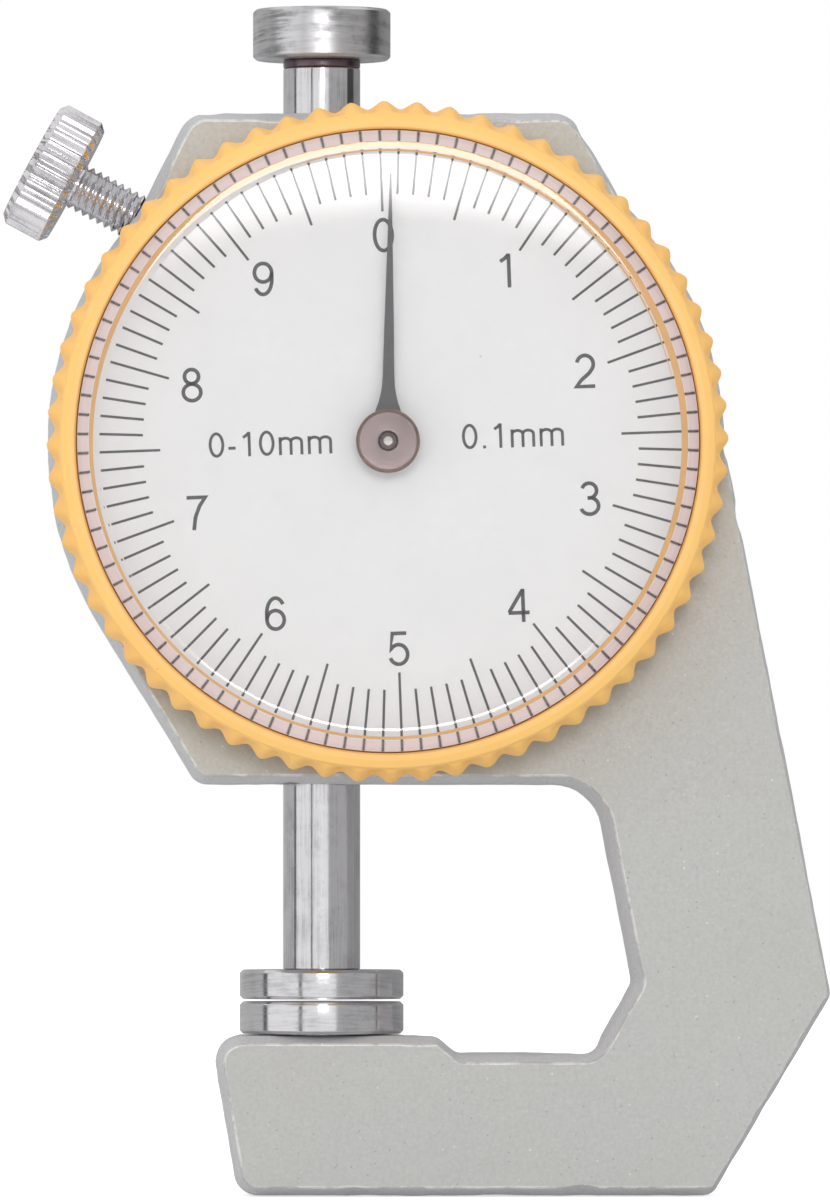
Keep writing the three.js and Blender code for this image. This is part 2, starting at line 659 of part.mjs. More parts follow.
function spindleRod() {
  let rod = solidOf(
    turnedZ(
      [
        [0, CONTACT_TOP - CONTACT_STUD_LENGTH],
        [CONTACT_STUD_RADIUS, CONTACT_TOP - CONTACT_STUD_LENGTH],
        [CONTACT_STUD_RADIUS, CONTACT_TOP],
        [ROD_RADIUS, CONTACT_TOP],
        [ROD_RADIUS, WASHER_BOTTOM],
        [BUTTON_STUD_RADIUS, WASHER_BOTTOM],
        [BUTTON_STUD_RADIUS, BUTTON_BOTTOM + BUTTON_STUD_LENGTH],
        [0, BUTTON_BOTTOM + BUTTON_STUD_LENGTH],
      ],
      ROUND_SIDES,
    ),
  );
  for (let k = -PINION_TEETH - RACK_SPARE_TEETH; k <= RACK_SPARE_TEETH; k += 1) {
    rod = rod.subtract(solidOf(rackGap(DIAL_Z + (k + 0.5) * RACK_PITCH)));
  }
  const hole = drumX(
    GUIDE_PIN_RADIUS + SEAT_CLEARANCE,
    -ROD_RADIUS - CUT_OVERRUN,
    -ROD_RADIUS + GUIDE_PIN_DEPTH + SEAT_CLEARANCE,
  );
  return rod.subtract(solidOf(hole.translate(0, 0, GUIDE_PIN_Z)));
}

function topButton() {
  const bore = BUTTON_STUD_RADIUS + SEAT_CLEARANCE;
  const boreEnd = BUTTON_BOTTOM + BUTTON_STUD_LENGTH + SEAT_CLEARANCE;
  return turnedZ([
    [0, boreEnd],
    [bore, boreEnd],
    [bore, BUTTON_BOTTOM],
    [BUTTON_RADIUS - BUTTON_CHAMFER, BUTTON_BOTTOM],
    [BUTTON_RADIUS, BUTTON_BOTTOM + BUTTON_CHAMFER],
    [BUTTON_RADIUS, BUTTON_TOP - BUTTON_CHAMFER],
    [BUTTON_RADIUS - BUTTON_CHAMFER, BUTTON_TOP],
    [0, BUTTON_TOP],
  ]);
}

function buttonWasher() {
  const bore = BUTTON_STUD_RADIUS + SEAT_CLEARANCE;
  return turnedZ(
    [
      [bore, WASHER_BOTTOM],
      [ROD_RADIUS, WASHER_BOTTOM],
      [ROD_RADIUS, BUTTON_BOTTOM],
      [bore, BUTTON_BOTTOM],
      [bore, WASHER_BOTTOM],
    ],
    ROUND_SIDES,
  );
}

function guidePin() {
  const outer = -SPRING_OFFSET - GUIDE_PIN_RADIUS;
  return drumX(GUIDE_PIN_RADIUS, outer, -ROD_RADIUS + GUIDE_PIN_DEPTH).translate(0, 0, GUIDE_PIN_Z);
}

function guidePlateHeights() {
  const slotLow = GUIDE_PIN_Z - GUIDE_PIN_RADIUS - GUIDE_SLOT_SPARE;
  const slotHigh = GUIDE_PIN_Z + MEASURING_RANGE + GUIDE_PIN_RADIUS + GUIDE_SLOT_SPARE;
  return { slotLow, slotHigh, low: slotLow - GUIDE_PLATE_END, high: slotHigh + GUIDE_SLOT_SPARE };
}

// A slotted upright plate that keeps the guide pin, and so the plunger, from turning.
function guidePlate() {
  const [left, right] = guidePlateSpan();
  const { slotLow, slotHigh, low, high } = guidePlateHeights();
  const half = GUIDE_PIN_RADIUS + SLIDING_CLEARANCE;
  const upright = block(
    [left, right],
    [WEB_BACK - GUIDE_PLATE_SINK, WEB_BACK + GUIDE_PLATE_RISE],
    [low, high],
  );
  const slot = block([left - CUT_OVERRUN, right + CUT_OVERRUN], [-half, half], [slotLow, slotHigh]);
  return solidOf(upright).subtract(solidOf(slot));
}

// The closed arc of a hook about a pin, in the plane of two unit directions.
function hookPoints(centre, radius, first, second, fromAngle, toAngle) {
  const points = [];
  const steps = SPRING_STEPS_A_TURN;
  for (let k = 0; k <= steps; k += 1) {
    const angle = fromAngle + ((toAngle - fromAngle) * k) / steps;
    const point = centre.clone().addScaledVector(first, radius * Math.cos(angle));
    points.push(point.addScaledVector(second, radius * Math.sin(angle)));
  }
  return points;
}

// The extension spring: a hook round the post, the coil, and a hook round the guide pin.
function returnSpring() {
  const post = new THREE.Vector3(-SPRING_OFFSET, 0, postHeight());
  const pin = new THREE.Vector3(-SPRING_OFFSET, 0, GUIDE_PIN_Z);
  const [across, depth, up] = [0, 1, 2].map((k) => new THREE.Vector3().setComponent(k, 1));
  const lowHook = POST_RADIUS + SPRING_HOOK_GAP + SPRING_WIRE;
  const highHook = GUIDE_PIN_RADIUS + SPRING_HOOK_GAP + SPRING_WIRE;
  const start = post.z + lowHook + SPRING_HOOK_LENGTH;
  const rise = pin.z - highHook - SPRING_HOOK_LENGTH - start;
  const threeQuarters = 3 * QUARTER_TURN;
  const path = hookPoints(post, lowHook, across, up, -threeQuarters, QUARTER_TURN / 2);
  const turns = SPRING_TURNS * SPRING_STEPS_A_TURN;
  for (let k = 0; k <= turns; k += 1) {
    const angle = (k / SPRING_STEPS_A_TURN) * FULL_TURN;
    const point = new THREE.Vector3(-SPRING_OFFSET, 0, start + (rise * k) / turns);
    point.addScaledVector(across, SPRING_RADIUS * Math.cos(angle));
    path.push(point.addScaledVector(depth, SPRING_RADIUS * Math.sin(angle)));
  }
  path.push(...hookPoints(pin, highHook, depth, up, -QUARTER_TURN / 2, threeQuarters));
  return springTube(path);
}

function springTube(path) {
  const wire = wheelOutline(SPRING_SIDES, () => SPRING_WIRE);
  const curve = new THREE.CatmullRomCurve3(path, false, "centripetal");
  return new THREE.ExtrudeGeometry(wire, { steps: path.length, extrudePath: curve });
}

function springPost() {
  const post = drumY(POST_RADIUS, WEB_BACK - SCREW_BITE, POST_SPARE);
  return post.translate(-SPRING_OFFSET, 0, postHeight());
}

function rearCover() {
  const radius = HEAD_RADIUS - COVER_RIM;
  const back = COVER_SEAT + COVER_THICKNESS;
  const disc = drumY(radius, COVER_SEAT, back, WIDE_SIDES);
  const holes = coverScrewPlaces().map(([x, z]) => {
    const hole = coverScrewCut();
    return hole.translate(x, 0, z);
  });
  return holes.reduce((body, hole) => body.subtract(solidOf(hole)), solidOf(onDialAxis(disc)));
}

function coverScrewCut() {
  const back = COVER_SEAT + COVER_THICKNESS;
  const shank = COVER_SCREW_RADIUS + SEAT_CLEARANCE;
  const head = COVER_SCREW_HEAD + SEAT_CLEARANCE;
  return turnedY(
    [
      [0, back + CUT_OVERRUN],
      [head, back + CUT_OVERRUN],
      [head, back],
      [shank, back - COVER_SCREW_CONE],
      [shank, COVER_SEAT - CUT_OVERRUN],
      [0, COVER_SEAT - CUT_OVERRUN],
    ],
    ROUND_SIDES,
  );
}

function coverScrew([x, z]) {
  const back = COVER_SEAT + COVER_THICKNESS;
  const end = back - COVER_SCREW_LENGTH;
  const screw = turnedY(
    [
      [0, back],
      [COVER_SCREW_HEAD, back],
      [COVER_SCREW_RADIUS, back - COVER_SCREW_CONE],
      [COVER_SCREW_RADIUS, end],
      [0, end],
    ],
    ROUND_SIDES,
  );
  return screw.translate(x, 0, z);
}

function frontBearing() {
  const bore = ARBOR_RADIUS + SLIDING_CLEARANCE;
  return turnedY(
    [
      [bore, BEARING_BACK],
      [BEARING_RADIUS, BEARING_BACK],
      [BEARING_RADIUS, FRONT_FACE],
      [bore, FRONT_FACE],
      [bore, BEARING_BACK],
    ],
    ROUND_SIDES,
  );
}

// The bridge is a round-ended plate over the arbor, on two pillars.
function movementBridge() {
  const x = DIAL_X + BRIDGE_OFFSET;
  const reach = BRIDGE_HALF_SPAN + BRIDGE_HALF_WIDTH;
  const corners = [
    [x + BRIDGE_HALF_WIDTH, DIAL_Z - reach],
    [x + BRIDGE_HALF_WIDTH, DIAL_Z + reach],
    [x - BRIDGE_HALF_WIDTH, DIAL_Z + reach],
    [x - BRIDGE_HALF_WIDTH, DIAL_Z - reach],
  ];
  const outline = roundedOutline(corners.map((place) => [...place, BRIDGE_HALF_WIDTH / 2]));
  let bridge = solidOf(plate(outline, BRIDGE_FRONT, BRIDGE_BACK));
  const from = BRIDGE_FRONT - CUT_OVERRUN;
  const to = BRIDGE_BACK + CUT_OVERRUN;
  bridgeScrewPlaces().forEach(([hx, hz]) => {
    const hole = drumY(BRIDGE_SCREW_RADIUS + SEAT_CLEARANCE, from, to);
    bridge = bridge.subtract(solidOf(hole.translate(hx, 0, hz)));
  });
  const pivotHole = drumY(ARBOR_PIVOT_RADIUS + SLIDING_CLEARANCE, from, to);
  return bridge.subtract(solidOf(onDialAxis(pivotHole)));
}

function bridgePillar([x, z]) {
  const bore = BRIDGE_SCREW_RADIUS + SEAT_CLEARANCE;
  const pillar = turnedY(
    [
      [bore, BRIDGE_FRONT],
      [PILLAR_RADIUS, BRIDGE_FRONT],
      [PILLAR_RADIUS, WEB_BACK],
      [bore, WEB_BACK],
      [bore, BRIDGE_FRONT],
    ],
    ROUND_SIDES,
  );
  return pillar.translate(x, 0, z);
}

function bridgeScrew([x, z]) {
  const end = WEB_BACK - SCREW_BITE;
  const screw = turnedY(
    [
      [0, BRIDGE_BACK + BRIDGE_HEAD_HEIGHT],
      [BRIDGE_SCREW_HEAD, BRIDGE_BACK + BRIDGE_HEAD_HEIGHT],
      [BRIDGE_SCREW_HEAD, BRIDGE_BACK],
      [BRIDGE_SCREW_RADIUS, BRIDGE_BACK],
      [BRIDGE_SCREW_RADIUS, end],
      [0, end],
    ],
    ROUND_SIDES,
  );
  return screw.translate(x, 0, z);
}

function colletRadius() {
  return ARBOR_RADIUS + SEAT_CLEARANCE / 2 + COLLET_WALL;
}

function hairspringReach() {
  return colletRadius() + HAIRSPRING_GAP + HAIRSPRING_PITCH * HAIRSPRING_TURNS + HAIRSPRING_STRIP;
}

// A flat spiral of thin strip, from beside the collet out to the stud.
function hairspring() {
  const count = HAIRSPRING_TURNS * HAIRSPRING_STEPS;
  const edge = (offset) =>
    Array.from({ length: count + 1 }, (_, k) => {
      const angle = (k / HAIRSPRING_STEPS) * FULL_TURN;
      const radius = colletRadius() + HAIRSPRING_GAP + HAIRSPRING_PITCH * (angle / FULL_TURN);
      const way = new THREE.Vector2(Math.cos(angle), Math.sin(angle));
      return way.multiplyScalar(radius + offset);
    });
  const strip = new THREE.Shape([...edge(0), ...edge(HAIRSPRING_STRIP).reverse()]);
  return plate(strip, HAIRSPRING_FRONT, HAIRSPRING_BACK);
}

function hairspringStud() {
  const x = hairspringReach() + SEAT_CLEARANCE + STUD_RADIUS;
  return drumY(STUD_RADIUS, HAIRSPRING_FRONT, BRIDGE_FRONT).translate(x, 0, 0);
}

function hairspringCollet() {
  const bore = ARBOR_RADIUS + SEAT_CLEARANCE / 2;
  return turnedY(
    [
      [bore, HAIRSPRING_BACK],
      [colletRadius(), HAIRSPRING_BACK],
      [colletRadius(), HAIRSPRING_FRONT],
      [bore, HAIRSPRING_FRONT],
      [bore, HAIRSPRING_BACK],
    ],
    ROUND_SIDES,
  );
}

// The pinion's teeth are tapered, and a gap between two of them looks to the rack at -X.
function pinionOutline() {
  const half = TOOTH_WIDTH / 2;
  const rootFlare = (PITCH_RADIUS - PINION_ROOT_RADIUS) * Math.tan(PRESSURE_ANGLE);
  const tipTaper = PINION_ADDENDUM * Math.tan(TIP_FLANK_ANGLE);
  const flank = [
    [PINION_ROOT_RADIUS, (half + rootFlare) / PINION_ROOT_RADIUS],
    [PITCH_RADIUS, half / PITCH_RADIUS],
    [PINION_TIP_RADIUS, (half - tipTaper) / PINION_TIP_RADIUS],
  ];
  const points = [];
  for (let k = 0; k < PINION_TEETH; k += 1) {
    const middle = ((k + 0.5) / PINION_TEETH) * FULL_TURN;
    const rising = flank.map(([radius, halfAngle]) => [radius, middle - halfAngle]);
    const falling = flank.map(([radius, halfAngle]) => [radius, middle + halfAngle]).reverse();
    [...rising, ...falling].forEach(([radius, angle]) => {
      points.push(new THREE.Vector2(radius * Math.cos(angle), radius * Math.sin(angle)));
    });
  }
  return new THREE.Shape(points);
}

function pinionArbor() {
  const pivotEnd = BRIDGE_BACK + FACE_GAP;
  const shoulder = BEARING_BACK + SLIDING_CLEARANCE;
  const arbor = turnedY(
    [
      [0, pivotEnd],
      [ARBOR_PIVOT_RADIUS, pivotEnd],
      [ARBOR_PIVOT_RADIUS, BRIDGE_FRONT - SLIDING_CLEARANCE],
      [ARBOR_RADIUS, BRIDGE_FRONT - SLIDING_CLEARANCE],
      [ARBOR_RADIUS, PINION_BACK],
      [ARBOR_SHOULDER_RADIUS, PINION_BACK],
      [ARBOR_SHOULDER_RADIUS, shoulder],
      [ARBOR_RADIUS, shoulder],
      [ARBOR_RADIUS, HUB_FRONT],
      [ARBOR_RADIUS / 2, HUB_FRONT - ARBOR_DOME / 2],
      [0, HUB_FRONT - ARBOR_DOME / 2],
    ],
    ROUND_SIDES,
  );
  const pinion = plate(pinionOutline(), -PINION_WIDTH / 2, PINION_WIDTH / 2);
  return solidOf(arbor).add(solidOf(pinion));
}

function pointer() {
  const wideEnd = POINTER_LENGTH * POINTER_WIDE_END_SHARE;
  const needle = new THREE.Shape([
    new THREE.Vector2(-POINTER_ROOT_HALF_WIDTH, 0),
    new THREE.Vector2(POINTER_ROOT_HALF_WIDTH, 0),
    new THREE.Vector2(POINTER_ROOT_HALF_WIDTH, HUB_RADIUS),
    new THREE.Vector2(POINTER_HALF_WIDTH, wideEnd),
    new THREE.Vector2(POINTER_TIP_HALF_WIDTH, POINTER_LENGTH),
    new THREE.Vector2(-POINTER_TIP_HALF_WIDTH, POINTER_LENGTH),
    new THREE.Vector2(-POINTER_HALF_WIDTH, wideEnd),
    new THREE.Vector2(-POINTER_ROOT_HALF_WIDTH, HUB_RADIUS),
  ]);
  const blade = solidOf(plate(needle, POINTER_FRONT, POINTER_BACK));
  const boss = solidOf(drumY(POINTER_BOSS_RADIUS, POINTER_FRONT, POINTER_BACK));
  const bore = drumY(
    ARBOR_RADIUS + HUB_BORE_CLEARANCE,
    POINTER_FRONT - CUT_OVERRUN,
    POINTER_BACK + CUT_OVERRUN,
  );
  return blade.add(boss).subtract(solidOf(bore));
}

function pointerHub() {
  const bore = ARBOR_RADIUS + HUB_BORE_CLEARANCE;
  return turnedY(
    [
      [bore, POINTER_FRONT],
      [HUB_RADIUS, POINTER_FRONT],
      [HUB_RADIUS, HUB_FRONT + HUB_CHAMFER],
      [HUB_RADIUS - HUB_CHAMFER, HUB_FRONT],
      [bore, HUB_FRONT],
      [bore, POINTER_FRONT],
    ],
    DISC_SIDES,
  );
}

function dialPlate() {
  const bore = ARBOR_RADIUS + TURNING_CLEARANCE;
  return turnedY([
    [bore, DIAL_BACK],
    [CRYSTAL_RADIUS, DIAL_BACK],
    [CRYSTAL_RADIUS, DIAL_FRONT],
    [bore, DIAL_FRONT],
    [bore, DIAL_BACK],
  ]);
}

// The crystal is a cap: a skirt that stands on the rim of the dial, a bevel and a flat top.
function crystal() {
  const inner = CRYSTAL_RADIUS - CRYSTAL_SKIRT;
  return turnedY([
    [0, CRYSTAL_INSIDE],
    [inner, CRYSTAL_INSIDE],
    [inner, DIAL_FRONT],
    [CRYSTAL_RADIUS, DIAL_FRONT],
    [CRYSTAL_RADIUS, CRYSTAL_SHOULDER],
    [CRYSTAL_RADIUS - CRYSTAL_BEVEL_WIDTH, CRYSTAL_FRONT],
    [0, CRYSTAL_FRONT],
  ]);
}

function bezelBand() {
  const crest = (BEZEL_BORE + BEZEL_VALLEY) / 2;
  return turnedY([
    [0, BEZEL_BACK],
    [BEZEL_VALLEY, BEZEL_BACK],
    [BEZEL_VALLEY, BEZEL_SHOULDER],
    [(crest + BEZEL_VALLEY) / 2, CRYSTAL_SHOULDER + BEZEL_BAND_RISE / 4],
    [crest, CRYSTAL_SHOULDER],
    [0, CRYSTAL_SHOULDER],
  ]);
}

function bezelTeeth() {
  const radiusAt = (k) => (k % 2 ? BEZEL_TIP : BEZEL_VALLEY);
  const outline = wheelOutline(2 * BEZEL_TOOTH_COUNT, radiusAt);
  return plate(outline, BEZEL_SHOULDER, BEZEL_BACK, BEZEL_TOOTH_CHAMFER);
}

// What is taken out of the bezel: the running bore with the snap ring's groove, the
// wider bore of the dial and crystal, and the inner slope of the lip.
function bezelBore() {
  const half = SNAP_RING_THICKNESS / 2 + SEAT_CLEARANCE;
  const groove = snapRingInner() + SNAP_RING_WIDTH + SEAT_CLEARANCE;
  const crest = (BEZEL_BORE + BEZEL_VALLEY) / 2;
  return turnedY([
    [0, BEZEL_BACK + CUT_OVERRUN],
    [BEZEL_BEARING, BEZEL_BACK + CUT_OVERRUN],
    [BEZEL_BEARING, SNAP_RING_MIDDLE + half],
    [groove, SNAP_RING_MIDDLE + half],
    [groove, SNAP_RING_MIDDLE - half],
    [BEZEL_BEARING, SNAP_RING_MIDDLE - half],
    [BEZEL_BEARING, DIAL_BACK],
    [BEZEL_BORE, DIAL_BACK],
    [BEZEL_BORE, CRYSTAL_SHOULDER + BEZEL_BAND_RISE / 4],
    [crest, CRYSTAL_SHOULDER - BEZEL_BAND_RISE / 4],
    [crest, CRYSTAL_SHOULDER - CUT_OVERRUN],
    [0, CRYSTAL_SHOULDER - CUT_OVERRUN],
  ]);
}

function bezelRing() {
  return solidOf(bezelBand()).add(solidOf(bezelTeeth())).subtract(solidOf(bezelBore()));
}

function lockHead() {
  const radiusAt = (k) => LOCK_HEAD_RADIUS - (k % 2 ? LOCK_KNURL_DEPTH : 0);
  const outline = wheelOutline(2 * LOCK_KNURL_COUNT, radiusAt);
  const knurl = new THREE.ExtrudeGeometry(outline, {
    depth: LOCK_HEAD_LENGTH - 2 * LOCK_HEAD_CHAMFER,
    bevelThickness: LOCK_HEAD_CHAMFER,
    bevelSize: LOCK_HEAD_CHAMFER,
    bevelOffset: -LOCK_HEAD_CHAMFER,
    bevelSegments: 1,
  });
  knurl.translate(0, 0, LOCK_HEAD_CHAMFER - LOCK_HEAD_LENGTH);
  const bore = drumZ(
    LOCK_NECK_RADIUS + SEAT_CLEARANCE,
    -LOCK_TENON_LENGTH - SEAT_CLEARANCE,
    CUT_OVERRUN,
  );
  return solidOf(knurl).subtract(solidOf(bore));
}

function lockStud() {
  return turnedZ(
    [
      [0, -LOCK_TENON_LENGTH],
      [LOCK_NECK_RADIUS, -LOCK_TENON_LENGTH],
      [LOCK_NECK_RADIUS, LOCK_NECK_LENGTH],
      [LOCK_THREAD_RADIUS, LOCK_NECK_LENGTH],
      [LOCK_THREAD_RADIUS, LOCK_STUD_LENGTH],
      [0, LOCK_STUD_LENGTH],
    ],
    ROUND_SIDES,
  );
}

// The pad slides in the lock screw's bore, and its end is cut to the round of the plunger.
function lockPad() {
  const pad = drumZ(LOCK_PAD_RADIUS, LOCK_STUD_LENGTH + SEAT_CLEARANCE, LOCK_REACH);
  const gap = LOCK_TRAVEL * Math.cos(LOCK_TILT) + SEAT_CLEARANCE / 2;
  const room = drumZ(ROD_RADIUS + gap, HEAD_BOTTOM, HEAD_TOP, DISC_SIDES);
  return solidOf(onLockAxis(pad)).subtract(solidOf(room));
}

function buildFrame() {
  const frame = new THREE.Group();
  frame.add(
    piece("frame_casting", frameCasting(), castAlloy),
    piece("anvil_disc", anvilDisc(), steel),
    piece("lower_bush", bush(HEAD_BOTTOM + BUSH_INSET), brass),
    piece("upper_bush", bush(HEAD_TOP - BUSH_INSET - BUSH_LENGTH), brass),
    piece("guide_plate", guidePlate(), brass),
    piece("spring_post", springPost(), steel),
    piece("return_spring", returnSpring(), steel),
    piece("rear_cover", rearCover(), steel),
    piece("movement_bridge", movementBridge(), brass),
  );
  coverScrewPlaces().forEach((place, k) => {
    frame.add(piece(`rear_cover_screw_${k + 1}`, coverScrew(place), darkSteel));
  });
  bridgeScrewPlaces().forEach((place, k) => {
    frame.add(piece(`bridge_pillar_${k + 1}`, bridgePillar(place), brass));
    frame.add(piece(`bridge_screw_${k + 1}`, bridgeScrew(place), steel));
  });
  const atDial = new THREE.Group();
  atDial.position.set(DIAL_X, 0, DIAL_Z);
  atDial.add(
    piece("bezel_snap_ring", snapRing(), steel),
    piece("front_bearing", frontBearing(), brass),
    piece("hairspring", hairspring(), steel),
    piece("hairspring_stud", hairspringStud(), brass),
  );
  frame.add(atDial);
  return frame;
}

function buildSpindle() {
  const spindle = new THREE.Group();
  spindle.add(
    piece("spindle_rod", spindleRod(), steel),
    piece("contact_disc", contactDisc(), steel),
    piece("top_button", topButton(), steel),
    piece("button_washer", buttonWasher(), darkSteel),
    piece("guide_pin", guidePin(), steel),
  );
  return spindle;
}

function buildPointer() {
  const turning = new THREE.Group();
  turning.position.set(DIAL_X, 0, DIAL_Z);
  const needle = piece("pointer", pointer(), darkSteel);
  needle.rotation.y = POINTER_TURN;
  turning.add(
    piece("pinion_arbor", pinionArbor(), steel),
    piece("hairspring_collet", hairspringCollet(), brass),
    needle,
    piece("pointer_hub", pointerHub(), hubAlloy),
  );
  return turning;
}

function buildBezel() {
  const bezel = new THREE.Group();
  bezel.position.set(DIAL_X, 0, DIAL_Z);
  bezel.add(
    piece("bezel_ring", bezelRing(), bezelOrange),
    piece("dial_plate", dialPlate(), dialWhite),
    piece("crystal", crystal(), clearAcrylic),
  );
  return bezel;
}

function buildLock() {
  const lock = new THREE.Group();
  const screw = lockFrame();
  screw.add(
    piece("lock_screw_head", lockHead(), steel),
    piece("lock_screw_stud", lockStud(), steel),
  );
  lock.add(screw, piece("lock_pad", lockPad(), brass));
  return lock;
}

const gauge = new THREE.Group();
gauge.add(buildFrame(), buildSpindle(), buildPointer(), buildBezel(), buildLock());

export default gauge;
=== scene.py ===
"""Dial thickness gauge: the finished look of the gauge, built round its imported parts.

Metres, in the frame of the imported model: the plunger slides on the Z axis, the dial looks
to -Y and the gauge stands on the floor at Z = 0.
"""

import math

import bmesh
import bpy
from bpy.props import FloatProperty, FloatVectorProperty, IntProperty, PointerProperty
from bpy.types import Operator, Panel, PropertyGroup
from mathutils import Matrix, Vector, noise


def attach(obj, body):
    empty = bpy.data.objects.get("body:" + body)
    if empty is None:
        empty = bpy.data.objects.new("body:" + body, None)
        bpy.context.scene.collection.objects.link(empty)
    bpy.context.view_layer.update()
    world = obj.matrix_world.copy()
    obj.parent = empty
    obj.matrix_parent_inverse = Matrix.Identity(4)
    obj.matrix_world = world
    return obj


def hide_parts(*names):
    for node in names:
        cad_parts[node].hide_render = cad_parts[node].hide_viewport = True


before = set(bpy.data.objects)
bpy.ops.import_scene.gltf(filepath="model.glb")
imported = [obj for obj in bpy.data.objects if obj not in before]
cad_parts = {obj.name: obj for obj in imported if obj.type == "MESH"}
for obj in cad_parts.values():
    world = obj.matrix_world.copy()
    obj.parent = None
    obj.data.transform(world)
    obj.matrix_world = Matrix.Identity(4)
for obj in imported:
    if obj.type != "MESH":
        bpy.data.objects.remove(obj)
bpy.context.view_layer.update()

bl_info = {
    "name": "Dial Thickness Gauge",
    "version": (1, 0, 0),
    "blender": (4, 5, 0),
    "location": "3D View > Sidebar > Gauge",
    "description": "Builds the finished look of a dial thickness gauge round its packed parts",
    "category": "Add Mesh",
}

MM = 0.001
TURN = 2 * math.pi
TOUCH = 0.0001 * MM
HAIR = 0.001 * MM
SHARP_ANGLE = math.radians(32)
ROUND_STEPS = 5
SCREW_SIDES = 48
ROUND_SIDES = 128
FINE_SIDES = 160
CRYSTAL_SIDES = 768
TOOTH_SIDES = 12
RIDGE_SIDES = 14
TURNED_SIDES = 96
BORE_SIDES = 64
DISC_SIDES = 192
SPACER_SIDES = 512

# Plunger, anvil and button, as heights above the floor
ROD_RADIUS = 2.35 * MM
ROD_BOTTOM = 13.74 * MM
ROD_TOP = 68.78 * MM
TIP_RADIUS = 5 * MM
ANVIL_LOW = 9.83 * MM
ANVIL_HIGH = 11.8 * MM
CONTACT_LOW = 11.95 * MM
STEM_RADIUS = 2 * MM
STEM_LOW = 5.95 * MM
STUD_RADIUS = 1.2 * MM
STUD_LOW = 12.74 * MM
BUTTON_RADIUS = 4.2 * MM
BUTTON_LOW = 69.28 * MM
BUTTON_HIGH = 72.38 * MM
BUTTON_STUD = 1.3 * MM
BUTTON_STUD_HIGH = 71.18 * MM
PLAY = 0.1 * MM
BUSH_RADIUS = 3.2 * MM
BUSH_LENGTH = 3.8 * MM
BUSH_INSET = 0.3 * MM
BUSH_BORE_DEPTH = 6.3 * MM
BUSH_CHAMFER = 0.15 * MM
GUIDE_PIN_Z = 41.78 * MM
GUIDE_PIN_RADIUS = 0.6 * MM
GUIDE_PIN_DEPTH = 1.35 * MM
RACK_PITCH = 0.625 * MM
RACK_TEETH = range(-18, 3)
RACK_ROOT = 1.9185 * MM
RACK_LINE = 2.2785 * MM
RACK_NARROWING = 0.045 * MM
PRESSURE_ANGLE = math.radians(20)

# Casting
DIAL_X = 3.87005 * MM
DIAL_Z = 45.68 * MM
HEAD_RADIUS = 20.65 * MM
HEAD_LOW = 24.98 * MM
HEAD_HIGH = 65.9 * MM
HALF_THICKNESS = 5.2 * MM
BEYOND = HALF_THICKNESS + MM
ARM_TOP = 9.75 * MM
WEB_BACK = 3.7 * MM
CAVITY_RADIUS = 16.2 * MM
SEAT_RADIUS = 17.7 * MM
SEAT_FRONT = 7.7 * MM
COVER_SEAT = 4 * MM
COVER_RADIUS = 18.6 * MM
COVER_THICKNESS = 1 * MM
SCREW_ANGLES = [30, 150, 210, 330]
SCREW_REACH = 17 * MM
SCREW_HEAD = 1.25 * MM
SCREW_SHANK = 0.6 * MM
SCREW_LENGTH = 4 * MM
SCREW_CONE = 0.6 * MM
SLOT_HALF = 0.17 * MM
SLOT_DEPTH = 0.35 * MM
BOSS_RADIUS = 1.9 * MM
BRIDGE_X = 5.40005 * MM
BRIDGE_SPAN = 7.2 * MM
BEARING_HOLE = 1.6 * MM
HOLE_END = 4.8 * MM
GUIDE_GROOVE = [(-4.2 * MM, -3.2 * MM), (-4.3 * MM, -3 * MM), (40.08 * MM, 52.88 * MM)]
POST_X = -5.2 * MM
POST_Z = 33.609 * MM
POST_HOLE_RADIUS = 0.6 * MM

# Front of the dial, as depths in front of the casting's middle
BEZEL_BACK = 5.5 * MM
BEZEL_SHOULDER = 9.8 * MM
BEZEL_CREST = 10.9 * MM
BEZEL_TIP = 20.6 * MM
BEZEL_VALLEY = 20.1 * MM
BEZEL_BORE = 18.9 * MM
BEZEL_CREASE = 19.83 * MM
BEZEL_BEARING = 17.95 * MM
BEZEL_BAND = [
    (20.12 * MM, 10.2 * MM), (19.98 * MM, 10.38 * MM), (BEZEL_CREASE, 10.5 * MM, 0.04 * MM),
    (19.7 * MM, 10.74 * MM, 0.1 * MM), (19.3 * MM, BEZEL_CREST, 0.4 * MM),
    (18.96 * MM, BEZEL_CREST, 0.05 * MM), (18.83 * MM, 10.84 * MM, 0.03 * MM),
    (18.83 * MM, 10.7 * MM), (BEZEL_BORE, 10.6 * MM),
]
SNAP_MIDDLE = 6.6 * MM
SNAP_HALF = 0.3 * MM
SNAP_GROOVE = 18.325 * MM
SNAP_INNER = 17.325 * MM
DIAL_BACK = 8 * MM
DIAL_FRONT = 8.5 * MM
DIAL_RADIUS = 18.8 * MM
DIAL_HOLE = 0.75 * MM
LINES_TO = 17.74 * MM
SHORT_LINES_FROM = 14.94 * MM
LONG_LINES_FROM = 13.9 * MM
NUMERAL_PEN = 0.225 * MM
CRYSTAL_INSIDE = 10.9 * MM
CRYSTAL_FRONT = 12.1 * MM
CRYSTAL_FLAT = 18.1 * MM
CRYSTAL_SAG = 0.35 * MM
CRYSTAL_STEP_FROM = 17.28 * MM
CRYSTAL_STEP_TO = 17.58 * MM
CRYSTAL_STEP = 0.026 * MM
CRYSTAL_SKIRT = 18.72 * MM
CRYSTAL_GAP = 0.02 * MM
CRYSTAL_SHARP = math.radians(24)
STEP_RINGS = 12
DOME_RINGS = 16
SPACER_INNER = 17.73 * MM
SPACER_HEIGHT = 0.3 * MM
POINTER_BACK = 9 * MM
POINTER_FRONT = 9.2 * MM
BLADE_WAIST = (0.285 * MM, 7 * MM)
BLADE_POINT = 0.05 * MM
